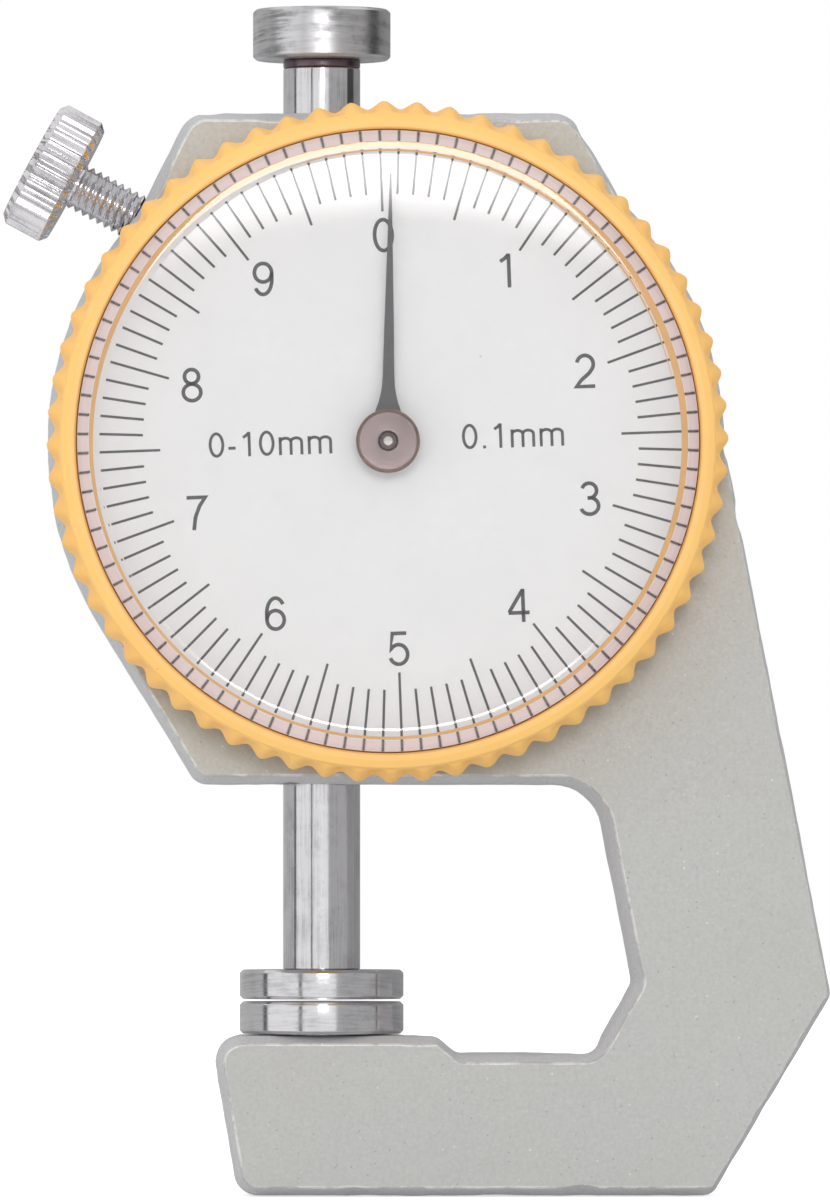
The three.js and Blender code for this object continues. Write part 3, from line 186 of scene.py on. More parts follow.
BLADE_BOSS = 1.6 * MM
HUB_RADIUS = 1.925 * MM
HUB_FRONT = 10.4 * MM
HUB_BORE = 0.55 * MM
PRINT_HIGH = 0.012 * MM

# The range and the step on the dial: their places, heights and pen widths in millimetres
MARKINGS = [("0-10mm", -7.25, -0.08, 1.5, 0.175), ("0.1mm", 7.36, 0.42, 1.5, 0.175)]

# The blade's flare towards the hub: millimetres from the axis, and the share of the widening
FLARE = [(1.9, 1.0), (2.1, 0.8), (2.35, 0.58), (2.7, 0.36), (3.2, 0.13), (3.9, 0.0)]

# Lock screw, along its own axis from the inner face of its head
LOCK_ORIGIN = Vector((-15.0283, 0, 61.6397)) * MM
LOCK_ANGLE = math.radians(118.5)
LOCK_HEAD_RADIUS = 4.1 * MM
LOCK_HEAD_LENGTH = 3.05 * MM
LOCK_CROWN_RADIUS = 2.2 * MM
LOCK_RECESS = 1.5 * MM
LOCK_TENON = 1.4 * MM
LOCK_NECK = 0.12 * MM
LOCK_NECK_RADIUS = 1.2 * MM
LOCK_THREAD_RADIUS = 1.475 * MM
LOCK_STUD_END = 9.5 * MM
LOCK_BOSS_LOW = 4.19 * MM
LOCK_BOSS_HIGH = 12.2006 * MM
LOCK_BOSS_RADIUS = 2.6 * MM
THREAD_PLAY = 0.25 * MM

# Places: a piece drawn as seen from the front, X right, Y up and Z towards the viewer
UPRIGHT = Matrix.Rotation(math.radians(90), 4, "X")
ON_DIAL = Matrix.Translation((DIAL_X, 0, DIAL_Z)) @ UPRIGHT
ON_PLUNGER = Matrix.Identity(4)
ON_LOCK = Matrix.Translation(LOCK_ORIGIN) @ Matrix.Rotation(LOCK_ANGLE, 4, "Y")

# Finishes
NOISE_LOW, NOISE_HIGH = 0.3, 0.7
MARK_DRIFT = 0.1
MARK_STRETCH = 0.03
WARM = (1.035, 1.0, 0.985)
COOL = (0.985, 0.995, 1.04)
DUST = (0.25, 0.22, 0.22)
WIRE_COLOUR = (0.45, 0.45, 0.47)
CLEAR_COLOUR = (0.985, 0.985, 0.985)
FLOOR_COLOUR = (0.85, 0.85, 0.85)
FLOOR_GLOW = 0.55

# Camera
EYE = Vector((-10.2, -810, 20)) * MM
AIM = Vector((5.7, 0, 36.3)) * MM
LENS = 398

# Softboxes: the centre, width and height of each in metres
SOFTBOXES = {"key": ((0.0, -0.6, 0.198), 0.26, 0.15), "left": ((-0.8, -0.42, 0.15), 0.8, 0.9)}

# Cards that only metal and glass see: bearings in degrees, radius in metres and brightness
CARD_STEP = 6
CARDS = [
    ("card_right", 20, 82, 1.2, 0.49), ("card_far_right", 82, 110, 1.2, 0.07),
    ("card_back_right", 110, 180, 1.2, 0.33), ("card_back_left", -180, -91, 1.2, 0.56),
    ("card_line_left", -91, -83, 1.2, 0.12), ("card_line_front", -33, -28, 0.7, 0.2),
]

# The arched card: its distance, its edges as the crystal mirrors them, and its arch
ARCH_AWAY = 2000 * MM
EYE_TO_CRYSTAL = 798 * MM
ARCH_LOW = 7.4 * MM
ARCH_HIGH = 44 * MM
ARCH_WIDE = 15.8 * MM
ARCH_TOP = 13.77
ARCH_FALL = 0.0108
ARCH_STEEPER = 4.6e-5
ARCH_SOFT = (-0.9, 2.4)


# Node trees

class Value:
    """A number in a tree of nodes; its sums and products add nodes to the tree."""

    def __init__(self, wiring, socket):
        self.wiring = wiring
        self.socket = socket

    def __add__(self, other):
        return self.wiring.math("ADD", self, other)

    def __sub__(self, other):
        return self.wiring.math("SUBTRACT", self, other)

    def __mul__(self, other):
        return self.wiring.math("MULTIPLY", self, other)

    def __truediv__(self, other):
        return self.wiring.math("DIVIDE", self, other)


class Wiring:
    """Adds nodes to a tree and links them, for finishes and for shapes."""

    def __init__(self, tree):
        self.tree = tree
        tree.nodes.clear()

    def node(self, kind, inputs=(), **settings):
        made = self.tree.nodes.new(kind)
        for name, value in settings.items():
            setattr(made, name, value)
        for key, value in dict(inputs).items():
            self.feed(made.inputs[key], value)
        return made

    def feed(self, socket, value):
        if isinstance(value, Value):
            value = value.socket
        if isinstance(value, bpy.types.Node):
            value = value.outputs[0]
        if isinstance(value, bpy.types.NodeSocket):
            self.tree.links.new(value, socket)
        elif socket.type == "RGBA" and len(value) == 3:
            socket.default_value = (*value, 1)
        else:
            socket.default_value = value

    def value(self, *details, **settings):
        """The first output of a new node, as a number."""
        return Value(self, self.node(*details, **settings).outputs[0])

    def math(self, operation, *values):
        return self.value("ShaderNodeMath", enumerate(values), operation=operation)

    def clamp(self, value):
        return self.math("MINIMUM", self.math("MAXIMUM", value, 0.0), 1.0)

    def ramp(self, value, low, high, start=0.0, end=1.0, smooth=True):
        style = "SMOOTHSTEP" if smooth else "LINEAR"
        inputs = {0: value, 1: low, 2: high, 3: start, 4: end}
        return self.value("ShaderNodeMapRange", inputs, interpolation_type=style)

    def spread(self, noise, start=0.0, end=1.0):
        """The range that a noise mostly keeps to, spread over another range."""
        return self.ramp(noise, NOISE_LOW, NOISE_HIGH, start, end)

    def blend(self, share, first, second):
        inputs = {0: share, 6: first, 7: second}
        return self.node("ShaderNodeMix", inputs, data_type="RGBA").outputs[2]

    def where(self):
        return self.node("ShaderNodeTexCoord").outputs["Object"]

    def local(self, place):
        """Object coordinates turned into the own axes of a piece."""
        inputs = {
            "Vector": self.where(),
            "Location": place.to_translation(),
            "Rotation": place.to_euler(),
        }
        return self.node("ShaderNodeMapping", inputs, vector_type="TEXTURE")

    def parts(self, spot):
        """X, Y and Z of a place."""
        outputs = self.node("ShaderNodeSeparateXYZ", {0: spot}).outputs
        return [Value(self, output) for output in outputs]

    def combined(self, *parts):
        return self.node("ShaderNodeCombineXYZ", enumerate(parts))

    def radius(self, x, y):
        return self.math("SQRT", x * x + y * y)

    def turning_marks(self, place, scale):
        """Fine lines left round a turned piece."""
        x, y, z = self.parts(self.local(place))
        spot = self.combined(self.radius(x, y), x * MARK_DRIFT, y * MARK_DRIFT + z)
        return self.clouds(spot, scale, 3, 0.65)

    def drawn_marks(self, place, scale):
        """Fine lines left along a drawn or ground rod."""
        thin = {"Vector": self.local(place), "Scale": (1, 1, MARK_STRETCH)}
        return self.clouds(self.node("ShaderNodeMapping", thin), scale, 3, 0.65)

    def clouds(self, spot, scale, detail=2.0, roughness=0.5):
        inputs = {"Vector": spot, "Scale": scale, "Detail": detail, "Roughness": roughness}
        return self.value("ShaderNodeTexNoise", inputs)

    def specks(self, spot, scale, share, size):
        """Small round spots in a share of the cells of a grid."""
        cells = self.node("ShaderNodeTexVoronoi", {"Vector": spot, "Scale": scale}).outputs
        pick = self.node("ShaderNodeSeparateColor", {0: cells["Color"]}).outputs
        chosen = self.math("GREATER_THAN", pick[0], 1 - share)
        edge = self.ramp(pick[1], 0.0, 1.0, size * 0.4, size) - cells["Distance"]
        return chosen * self.ramp(edge, 0.0, size * 0.5)

    def shifted(self, spot, way):
        """The same place in another part of a pattern."""
        return self.node("ShaderNodeMapping", {"Vector": spot, "Location": (way, way / 2, -way)})

    def bump(self, height, strength, distance):
        inputs = {"Strength": strength, "Distance": distance, "Height": height}
        return self.node("ShaderNodeBump", inputs)

    def surface(self, **values):
        """The shader of a surface, whose inputs are named with _ between their words."""
        inputs = {name.replace("_", " "): value for name, value in values.items()}
        return self.node("ShaderNodeBsdfPrincipled", inputs)

    def glow(self, strength):
        return self.node("ShaderNodeEmission", {"Color": (1, 1, 1), "Strength": strength})

    def seen(self):
        """1 on a ray from the camera or one that metal or glass sends on, otherwise 0."""
        path = self.node("ShaderNodeLightPath").outputs
        seen = path["Is Camera Ray"]
        for kind in ("Is Glossy Ray", "Is Transmission Ray"):
            seen = self.math("MAXIMUM", seen, path[kind])
        return seen


def painted(paint):
    """Turns a painter into a maker of materials, which makes each name only once."""

    def make(name, *details, **more):
        material = bpy.data.materials.get(name)
        if material is None:
            material = bpy.data.materials.new(name)
            material.use_nodes = True
            wiring = Wiring(material.node_tree)
            surface = paint(wiring, *details, **more)
            wiring.node("ShaderNodeOutputMaterial", {"Surface": surface})
        return material

    return make


def tint(colour, factors):
    return tuple(min(1.0, part * factor) for part, factor in zip(colour, factors))


def shade(colour, factor):
    return tint(colour, [factor] * 3)


@painted
def cast_finish(w, colour, roughness, metallic, grain, patchy=0.0):
    """Die-cast alloy: clouded, finely pitted, with pale and dark specks, and darker patches where
    asked, which on the rim break up its painted highlight.
    """
    spot = w.where()
    clouded = w.spread(w.clouds(spot, 90, 3))
    pebbled = w.clouds(spot, 4200, 3, 0.6)
    tinted = w.ramp(w.clouds(w.shifted(spot, 0.77), 55, 2), 0.36, 0.64, 0, 0.55)
    tints = w.blend(clouded, tint(colour, WARM), tint(colour, COOL))
    tone = w.blend(clouded, shade(colour, 0.975), shade(colour, 1.02))
    tone = w.blend(tinted * 0.8, tone, tints)
    pits = w.specks(w.shifted(spot, 0.31), 2200, 0.28, 0.24)
    patches = w.clouds(w.shifted(spot, 0.57), 520, 4, 0.7)
    layers = [
        (w.ramp(pebbled, 0.3, 0.75, 0, 0.5), 0.84),
        (w.specks(spot, 2600, 0.7, 0.3) * 0.35, 1.35),
        (w.specks(w.shifted(spot, 0.13), 1500, 0.14, 0.17) * 0.6, 1.4),
        (pits * 0.45, 0.45),
        # Darker patches: on the rim they break up its painted highlight.
        (w.ramp(patches, 0.44, 0.58, 0, patchy), 0.66),
    ]
    for share, factor in layers:
        tone = w.blend(share, tone, shade(colour, factor))
    height = w.clouds(spot, 620, 2) * 2.0 + pebbled - pits
    return w.surface(
        Base_Color=tone, Metallic=metallic, Normal=w.bump(height, grain, 0.03 * MM),
        Roughness=w.spread(pebbled, roughness - 0.07, roughness + 0.1),
    )


@painted
def steel_finish(w, colour, roughness, place, lines=9000.0, depth=0.25, lengthwise=False, worn=0.66):
    """Turned or ground steel with its fine lines, dull smudges and a few dark pits."""
    marks = (w.drawn_marks if lengthwise else w.turning_marks)(place, lines)
    smudge = w.ramp(w.clouds(w.where(), 420, 4, 0.65), 0.42, 0.66)
    marked = w.ramp(marks, 0.58, 0.4, 0, 0.75) * (smudge * 0.75 + 0.25)
    tone = w.blend(smudge, shade(colour, 1.03), shade(colour, 0.93))
    tone = w.blend(marked, tone, shade(colour, worn))
    tone = w.blend(w.specks(w.where(), 1500, 0.1, 0.13) * 0.6, tone, shade(colour, 0.35))
    return w.surface(
        Base_Color=tone, Metallic=1.0, Normal=w.bump(marks, depth, 0.01 * MM),
        Roughness=w.spread(marks, roughness + 0.07, roughness - 0.03),
    )


@painted
def arbor_finish(w, colour, dark):
    """Steel of the arbor, whose end is bumped to look turned to a cone; round the cone the end face
    is painted dark, a painted shade of the hole round the arbor.
    """
    x, y = w.parts(w.local(ON_DIAL))[:2]
    radius = w.radius(x, y)
    marks = w.turning_marks(ON_DIAL, 9000.0)
    tone = w.blend(w.spread(marks), shade(colour, 0.75), colour)
    # Painted shade: beyond the cone the end face is painted dark, for the shade in the hole round
    # the arbor.
    tone = w.blend(w.ramp(radius, 0.25 * MM, 0.33 * MM), tone, dark)
    cone = w.math("MINIMUM", radius, 0.3 * MM) * -0.45
    return w.surface(
        Base_Color=tone, Metallic=1.0, Roughness=w.spread(marks, 0.16, 0.28),
        Normal=w.bump(marks * (0.01 * MM) + cone, 1.0, 1.0),
    )


@painted
def worked_metal(w, colour, roughness):
    """Drawn or stamped metal: a fine grain, dull patches and small nicks."""
    spot = w.where()
    grain = w.clouds(spot, 5200, 3, 0.6)
    patches = w.ramp(w.clouds(spot, 380, 3), 0.35, 0.7)
    tone = w.blend(patches, shade(colour, 0.82), shade(colour, 1.05))
    tone = w.blend(w.spread(grain, 0, 0.3), tone, shade(colour, 0.7))
    return w.surface(
        Base_Color=tone, Metallic=1.0, Normal=w.bump(grain, 0.2, 0.01 * MM),
        Roughness=w.spread(grain, roughness - 0.05, roughness + 0.12),
    )


def moulded(w, tone, dusty, share):
    """Moulded plastic of a given tone, with a fine grain and dust in some places."""
    grain = w.clouds(w.where(), 3200, 3, 0.6)
    tone = w.blend(w.specks(w.where(), 1500, share, 0.12) * 0.5, tone, dusty)
    return w.surface(
        Base_Color=tone, Roughness=w.spread(grain, 0.36, 0.5),
        Normal=w.bump(grain, 0.12, 0.012 * MM),
    )


@painted
def bezel_finish(w, size):
    """Moulded plastic, painted a little darker at the inner lip and among the teeth: painted shade
    there.
    """
    x, y = w.parts(w.local(ON_DIAL))[:2]
    radius = w.radius(x, y)
    # Painted shade: the inner lip and the teeth are painted darker than the smooth band.
    lip = w.ramp(radius, 18.85 * MM, 19.0 * MM)
    teeth = w.ramp(radius, BEZEL_CREASE - 0.05 * MM, BEZEL_CREASE + 0.1 * MM)
    tone = w.blend(lip, size.lip_colour, size.band_colour)
    tone = w.blend(teeth, tone, size.teeth_colour)
    flow = w.ramp(w.clouds(w.where(), 240, 3), 0.35, 0.7, 0, 0.16)
    tone = w.blend(flow, tone, size.lip_colour)
    return moulded(w, tone, shade(size.lip_colour, 0.45), 0.02)


@painted
def plastic_finish(w, colour):
    """Moulded plastic of one colour, with flow marks and dust."""
    flow = w.ramp(w.clouds(w.where(), 260, 3), 0.35, 0.7)
    return moulded(w, w.blend(flow, colour, shade(colour, 0.9)), shade(colour, 0.5), 0.05)


@painted
def crystal_finish(w, colour, roughness):
    """Clear acrylic that lets the lamps through to the dial."""
    acrylic = w.surface(
        Base_Color=colour, IOR=1.49, Roughness=roughness, Transmission_Weight=1.0,
        Normal=w.bump(w.clouds(w.where(), 120, 2), 0.03, 0.02 * MM),
    )
    lamp_ray = w.node("ShaderNodeLightPath").outputs["Is Shadow Ray"]
    clear = w.node("ShaderNodeBsdfTransparent", {0: (1, 1, 1)})
    return w.node("ShaderNodeMixShader", {0: lamp_ray, 1: acrylic, 2: clear})


@painted
def enamel_finish(w, colour):
    """White dial enamel with faint mottling and a few specks of dust."""
    spot = w.where()
    mottled = w.clouds(spot, 1500, 4, 0.65)
    cloud = w.ramp(w.clouds(spot, 130, 3), 0.35, 0.7)
    tone = w.blend(cloud, shade(colour, 0.975), colour)
    tone = w.blend(w.ramp(mottled, 0.35, 0.75, 0, 0.6), tone, shade(colour, 0.95))
    tone = w.blend(w.specks(spot, 420, 0.035, 0.05) * 0.7, tone, DUST)
    return w.surface(
        Base_Color=tone, Roughness=w.spread(mottled, 0.45, 0.6),
        Normal=w.bump(mottled, 0.08, 0.01 * MM),
    )


@painted
def ink_finish(w, colour):
    """Printed or painted dark grey, a little uneven."""
    uneven = w.clouds(w.where(), 5200, 3, 0.6)
    tone = w.blend(w.ramp(uneven, 0.35, 0.7), shade(colour, 0.85), shade(colour, 1.3))
    return w.surface(
        Base_Color=tone, Roughness=w.spread(uneven, 0.4, 0.6),
        Normal=w.bump(uneven, 0.15, 0.01 * MM),
    )


# Shapes

def rounded(corners, closed=False, steps=ROUND_STEPS):
    """Points along a path, whose corners are x, y and, unless sharp, the radius of their round."""
    points = []
    last = len(corners) - 1
    for k, (x, y, *rounds) in enumerate(corners):
        here = Vector((x, y))
        if not rounds or (not closed and k in (0, last)):
            points.append(here)
            continue
        back = (Vector(corners[k - 1][:2]) - here).normalized()
        ahead = (Vector(corners[0 if k == last else k + 1][:2]) - here).normalized()
        half = back.angle(ahead) / 2
        radius = rounds[0]
        centre = here + (back + ahead).normalized() * (radius / math.sin(half))
        start = here + back * (radius / math.tan(half)) - centre
        end = here + ahead * (radius / math.tan(half)) - centre
        sweep = math.atan2(start.cross(end), start.dot(end))
        for step in range(steps + 1):
            points.append(centre + Matrix.Rotation(sweep * step / steps, 2) @ start)
    return points


def lathe(profile, sides=TURNED_SIDES):
    """A turned body on the local Z axis, from its outline as radius and height."""
    bm = bmesh.new()
    rings = []
    for radius, height in profile:
        count = 1 if radius < HAIR else sides
        ring = [TURN * k / sides for k in range(count)]
        rings.append([
            bm.verts.new((radius * math.cos(angle), radius * math.sin(angle), height))
            for angle in ring
        ])
    for low, high in zip(rings, rings[1:]):
        for k in range(sides):
            after = k + 1
            corners = [low[k % len(low)], low[after % len(low)]]
            corners += [high[after % len(high)], high[k % len(high)]]
            corners = list(dict.fromkeys(corners))
            if len(corners) > 2:
                bm.faces.new(corners)
    tidy(bm)
    return bm


def tidy(bm):
    bmesh.ops.remove_doubles(bm, verts=bm.verts, dist=TOUCH)
    bmesh.ops.recalc_face_normals(bm, faces=bm.faces)


def slab(outline, low, high):
    """A flat plate with a given outline between two heights."""
    bm = bmesh.new()
    floor = [bm.verts.new((x, y, low)) for x, y in outline]
    roof = [bm.verts.new((x, y, high)) for x, y in outline]
    bm.faces.new(floor)
    bm.faces.new(roof)
    for k in range(len(outline)):
        bm.faces.new([floor[k - 1], floor[k], roof[k], roof[k - 1]])
    tidy(bm)
    return bm


def block(x, y, z):
    return slab([(x[0], y[0]), (x[1], y[0]), (x[1], y[1]), (x[0], y[1])], *z)


def drum(radius, low, high, x=0.0, y=0.0, sides=SCREW_SIDES):
    """A plain cutter on the Z axis, moved aside by x and y."""
    bm = lathe([(0, low), (radius, low), (radius, high), (0, high)], sides)
    bm.transform(Matrix.Translation((x, y, 0)))
    return bm


def moved(bm, place):
    bm.transform(place)
    return bm


def loose_object(bm, materials=()):
    mesh = bpy.data.meshes.new("workpiece")
    bm.to_mesh(mesh)
    bm.free()
    for material in materials:
        mesh.materials.append(material)
    obj = bpy.data.objects.new("workpiece", mesh)
    bpy.context.scene.collection.objects.link(obj)
    return obj


def settled(obj, *helpers):
    """The finished mesh of an object with its modifiers, as a bmesh; the objects go."""
    bpy.context.view_layer.update()
    seen = obj.evaluated_get(bpy.context.evaluated_depsgraph_get())
    mesh = bpy.data.meshes.new_from_object(seen)
    bm = bmesh.new()
    bm.from_mesh(mesh)
    bpy.data.meshes.remove(mesh)
    for used in (obj, *helpers):
        data = used.data
        bpy.data.objects.remove(used)
        bpy.data.meshes.remove(data)
    return bm


def carved(bm, steps, materials=()):
    """A body after a list of cuts and additions, each given as an operation and a solid."""
    body = loose_object(bm, materials)
    tools = []
    for operation, tool in steps:
        helper = loose_object(tool, materials)
        helper.hide_render = True
        modifier = body.modifiers.new(operation, "BOOLEAN")
        modifier.operation = operation
        modifier.solver = "MANIFOLD"
        modifier.material_mode = "INDEX"
        modifier.object = helper
        tools.append(helper)
    result = settled(body, *tools)
    if not result.faces:
        raise RuntimeError("a cut left nothing of the body")
    return result


def grown(bm, tree, values):
    """The mesh that a tree of nodes makes of a starting mesh."""
    body = loose_object(bm)
    modifier = body.modifiers.new(tree.name, "NODES")
    modifier.node_group = tree
    sockets = {
        item.name: item.identifier
        for item in tree.interface.items_tree
        if item.item_type == "SOCKET" and item.in_out == "INPUT"
    }
    for name, value in values.items():
        modifier[sockets[name]] = value
    result = settled(body)
    if not result.faces:
        raise RuntimeError(tree.name + " made nothing")
    return result


def turned(corners, sides=TURNED_SIDES, steps=ROUND_STEPS):
    """A turned body from its outline, whose corners are rounded."""
    return lathe(rounded(corners, steps=steps), sides)


def put(name, bm, materials, body, nodes=(), sharp=SHARP_ANGLE):
    """Makes a finished piece of a mesh, and joins it to the body that carries it."""
    tidy(bm)
    for face in bm.faces:
        face.smooth = True
    for edge in bm.edges:
        edge.smooth = len(edge.link_faces) == 2 and edge.calc_face_angle(0) < sharp
    piece = loose_object(bm, materials)
    weighted = piece.modifiers.new("even_shading", "WEIGHTED_NORMAL")
    weighted.keep_sharp = True
    bpy.context.view_layer.update()
    seen = piece.evaluated_get(bpy.context.evaluated_depsgraph_get())
    rough = piece.data
    piece.data = bpy.data.meshes.new_from_object(seen)
    piece.modifiers.clear()
    bpy.data.meshes.remove(rough)
    piece.name = piece.data.name = name
    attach(piece, body)
    if nodes:
        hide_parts(*nodes)


def repaint(material, *nodes):
    """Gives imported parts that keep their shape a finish."""
    for node in nodes:
        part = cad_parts[node]
        part.data.materials.clear()
        part.data.materials.append(material)


# Trees that repeat a form

def tree_maker(name, inputs):
    """Turns a shaper into a maker of its tree of nodes, which is made only once."""

    def decorate(shape):
        def make():
            if name in bpy.data.node_groups:
                return bpy.data.node_groups[name]
            tree = bpy.data.node_groups.new(name, "GeometryNodeTree")
            sockets = {"Geometry": "Geometry", **inputs, "Material": "Material"}
            for label, kind in sockets.items():
                tree.interface.new_socket(label, in_out="INPUT", socket_type="NodeSocket" + kind)
            tree.interface.new_socket(
                "Geometry", in_out="OUTPUT", socket_type="NodeSocketGeometry"
            )
            w = Wiring(tree)
            outputs = w.node("NodeGroupInput").outputs
            given = {socket.name: Value(w, socket) for socket in outputs if socket.name}
            shaped = shape(w, given)
            real = w.node("GeometryNodeRealizeInstances", {"Geometry": shaped})
            paint = {"Geometry": real, "Material": given["Material"]}
            w.node("NodeGroupOutput", {0: w.node("GeometryNodeSetMaterial", paint)})
            return tree

        return make

    return decorate


@tree_maker("ridges_round_a_body", {
    "Ridges": "Int", "Turns per Metre": "Float", "Depth": "Float", "From": "Float",
    "To": "Float", "Fade": "Float", "Beyond": "Float", "Growth": "Float", "Roundness": "Float",
})
def ridge_tree(w, given):
    """Ridges round a turned body: straight ones for teeth and knurls, a helix for a thread."""
    x, y, z = w.parts(w.node("GeometryNodeInputPosition"))
    radius = w.radius(x, y)
    turn = w.math("ARCTAN2", y, x) / TURN
    phase = w.math("FRACT", turn * given["Ridges"] + z * given["Turns per Metre"])
    zigzag = w.math("ABSOLUTE", phase * 2.0 - 1.0)
    wave = zigzag + (w.ramp(zigzag, 0.0, 1.0) - zigzag) * given["Roundness"]
    low = (z - given["From"]) / given["Fade"]
    high = (given["To"] - z) / given["Fade"]
    held = w.clamp(w.math("MINIMUM", low, high))
    outside = w.clamp((radius - given["Beyond"]) / given["Growth"])
    sink = wave * held * given["Depth"] * outside
    inward = sink / w.math("MAXIMUM", radius, HAIR) * -1.0
    flat = {0: w.combined(x, y), "Scale": inward}
    offset = w.node("ShaderNodeVectorMath", flat, operation="SCALE")
    shaped = {"Geometry": given["Geometry"], "Offset": offset}
    return w.node("GeometryNodeSetPosition", shaped)


@tree_maker("copies_on_points", {"Copy": "Object", "Spin": "Float", "Seed": "Int"})
def copies_tree(w, given):
    """Copies of a small part on the points of a mesh, each turned by chance round Z."""
    info = w.node("GeometryNodeObjectInfo", {"Object": given["Copy"]}).outputs
    chance = {"Max": given["Spin"], "Seed": given["Seed"]}
    spin = w.node("FunctionNodeRandomValue", chance, data_type="FLOAT").outputs["Value"]
    turn = w.node("ShaderNodeCombineXYZ", {2: spin})
    copies = {"Points": given["Geometry"], "Instance": info["Geometry"], "Rotation": turn}
    return w.node("GeometryNodeInstanceOnPoints", copies)


@tree_maker("graduations_of_a_scale", {
    "Divisions": "Int", "Long Every": "Int", "Outer End": "Float", "Short Inner End": "Float",
    "Long Inner End": "Float", "Line Width": "Float", "Low": "Float", "High": "Float",
    "Turn": "Float",
})
def scale_tree(w, given):
    """The graduations of a round scale: bars in a ring, every so many a long one."""
    line = w.node("GeometryNodeMeshLine", {"Count": given["Divisions"]})
    bar = w.node("GeometryNodeMeshCube", {"Size": (1, 1, 1)})
    index = w.value("GeometryNodeInputIndex")
    angle = index * w.math("DIVIDE", TURN, given["Divisions"]) + given["Turn"]
    is_long = w.math("COMPARE", w.math("MODULO", index, given["Long Every"]), 0.0, 0.1)
    reach = given["Long Inner End"] - given["Short Inner End"]
    inner = is_long * reach + given["Short Inner End"]
    length = given["Outer End"] - inner
    middle = length * 0.5 + inner
    thick = given["High"] - given["Low"]
    across, up = w.math("SINE", angle) * middle, w.math("COSINE", angle) * middle
    spot = w.combined(across, up, thick * 0.5 + given["Low"])
    turn = w.node("ShaderNodeCombineXYZ", {2: angle * -1.0})
    size = w.combined(given["Line Width"], length, thick)
    laid = w.node("GeometryNodeSetPosition", {"Geometry": line, "Position": spot})
    bars = {"Points": laid, "Instance": bar, "Rotation": turn, "Scale": size}
    return w.node("GeometryNodeInstanceOnPoints", bars)


# What a user would change

def turning(about, degrees):
    value = math.radians(degrees)
    return FloatProperty(name="Turn", description=about, default=value, subtype="ANGLE")


def number(name, about, value, least):
    return IntProperty(name=name, description=about, default=value, min=least)


def light(name, about, value):
    return FloatProperty(name=name, description=about, default=value, min=0)


def length(name, about, value):
    return FloatProperty(
        name=name, description=about, default=value, min=0, unit="LENGTH", precision=5
    )


def colour(name, about, value):
    return FloatVectorProperty(
        name=name, description=about, default=value, size=3, min=0, max=1, subtype="COLOR"
    )


class GaugeCasting(PropertyGroup):
    waviness: length("Waviness", "How far the cast outline wanders inwards", 0.15 * MM)
    face_colour: colour("Face", "Colour of the flat cast faces", (0.485, 0.490, 0.470))
    # Painted light: the sides are painted lighter than the face, for the light that falls on the
    # narrow sides.
    side_colour: colour("Sides", "Colour of the cast sides", (0.585, 0.588, 0.60))
    # The rim colour is partly worn metal and partly a painted highlight along the rounded edge.
    rim_colour: colour("Rim", "Colour of the worn rims", (0.72, 0.72, 0.70))
    inner_colour: colour("Inside", "Colour of the machined inside", (0.42, 0.42, 0.41))


class GaugeSteel(PropertyGroup):
    steel_colour: colour("Steel", "Colour of the ground steel", (0.68, 0.67, 0.685))
    washer_colour: colour("Washer", "Colour of the washer under the button", (0.17, 0.125, 0.14))
    dark_colour: colour("Dark steel", "Colour of the blackened steel", (0.14, 0.14, 0.15))
    cover_colour: colour("Cover", "Colour of the cover", (0.55, 0.55, 0.56))
    brass_colour: colour("Brass", "Colour of the movement", (0.62, 0.44, 0.17))
    tip_chamfer: length("Tip chamfer", "Chamfer of the anvil and the contact disc", 0.2 * MM)
    button_chamfer: length("Button chamfer", "Chamfer of the top button", 0.2 * MM)


class GaugeBezel(PropertyGroup):
    teeth: number("Teeth", "Teeth round the bezel", 64, 3)
    tooth_depth: length("Tooth depth", "Depth of the teeth", BEZEL_TIP - BEZEL_VALLEY)
    turn: turning("How far the bezel is turned clockwise", 2.2)
    band_colour: colour("Band", "Colour of the smooth band", (1.0, 0.60, 0.18))
    # Painted shade: the teeth and the inner lip are painted a deeper tone than the smooth band.
    teeth_colour: colour("Teeth", "Colour among the teeth", (1.0, 0.58, 0.16))
    lip_colour: colour("Lip", "Colour of the inner lip", (0.96, 0.46, 0.13))


class GaugeCrystal(PropertyGroup):
    # Painted reflection: the bevelled edge is tinted pink for the orange bezel mirrored in it.
    edge_tint: colour("Edge tint", "Tint of the bevelled edge", (1.0, 0.70, 0.67))
    spacer_colour: colour("Spacer", "Colour of the ring under the crystal", (1.0, 0.55, 0.19))


class GaugeDial(PropertyGroup):
    divisions: number("Divisions", "Graduations", 100, 2)
    long_every: number("Long every", "Steps to a long line", 5, 1)
    turn: turning("How far the dial is turned clockwise", -2.1)
    line_width: length("Line width", "Width of a graduation", 0.15 * MM)
    numeral_height: length("Numeral height", "Height of the numerals", 2.08 * MM)
    numeral_radius: length("Numeral radius", "From the axis to a numeral", 12.47 * MM)
    print_offset: length("Print offset", "How far the print lies to the right", 0.2 * MM)
    enamel_colour: colour("Enamel", "Colour of the dial", (0.93, 0.93, 0.935))
    ink_colour: colour("Ink", "Colour of the print", (0.045, 0.045, 0.047))


class GaugePointer(PropertyGroup):
    length: length("Length", "From the axis to the tip", 16.2 * MM)
    half_width: length("Half width", "Half the width of the blade", 0.35 * MM)
    root_half_width: length("Root", "Half the width at the hub", 0.76 * MM)
    turn: turning("How far the pointer is turned clockwise", 0.64)
    blade_colour: colour("Blade", "Colour of the blade", (0.058, 0.058, 0.063))
    # Painted shade: the dark colour round the tip of the arbor stands for the shade in the hole
    # round it.
    centre_colour: colour("Centre", "Colour round the tip of the arbor", (0.10, 0.055, 0.05))
    hub_colour: colour("Hub", "Colour of the hub", (0.335, 0.262, 0.258))


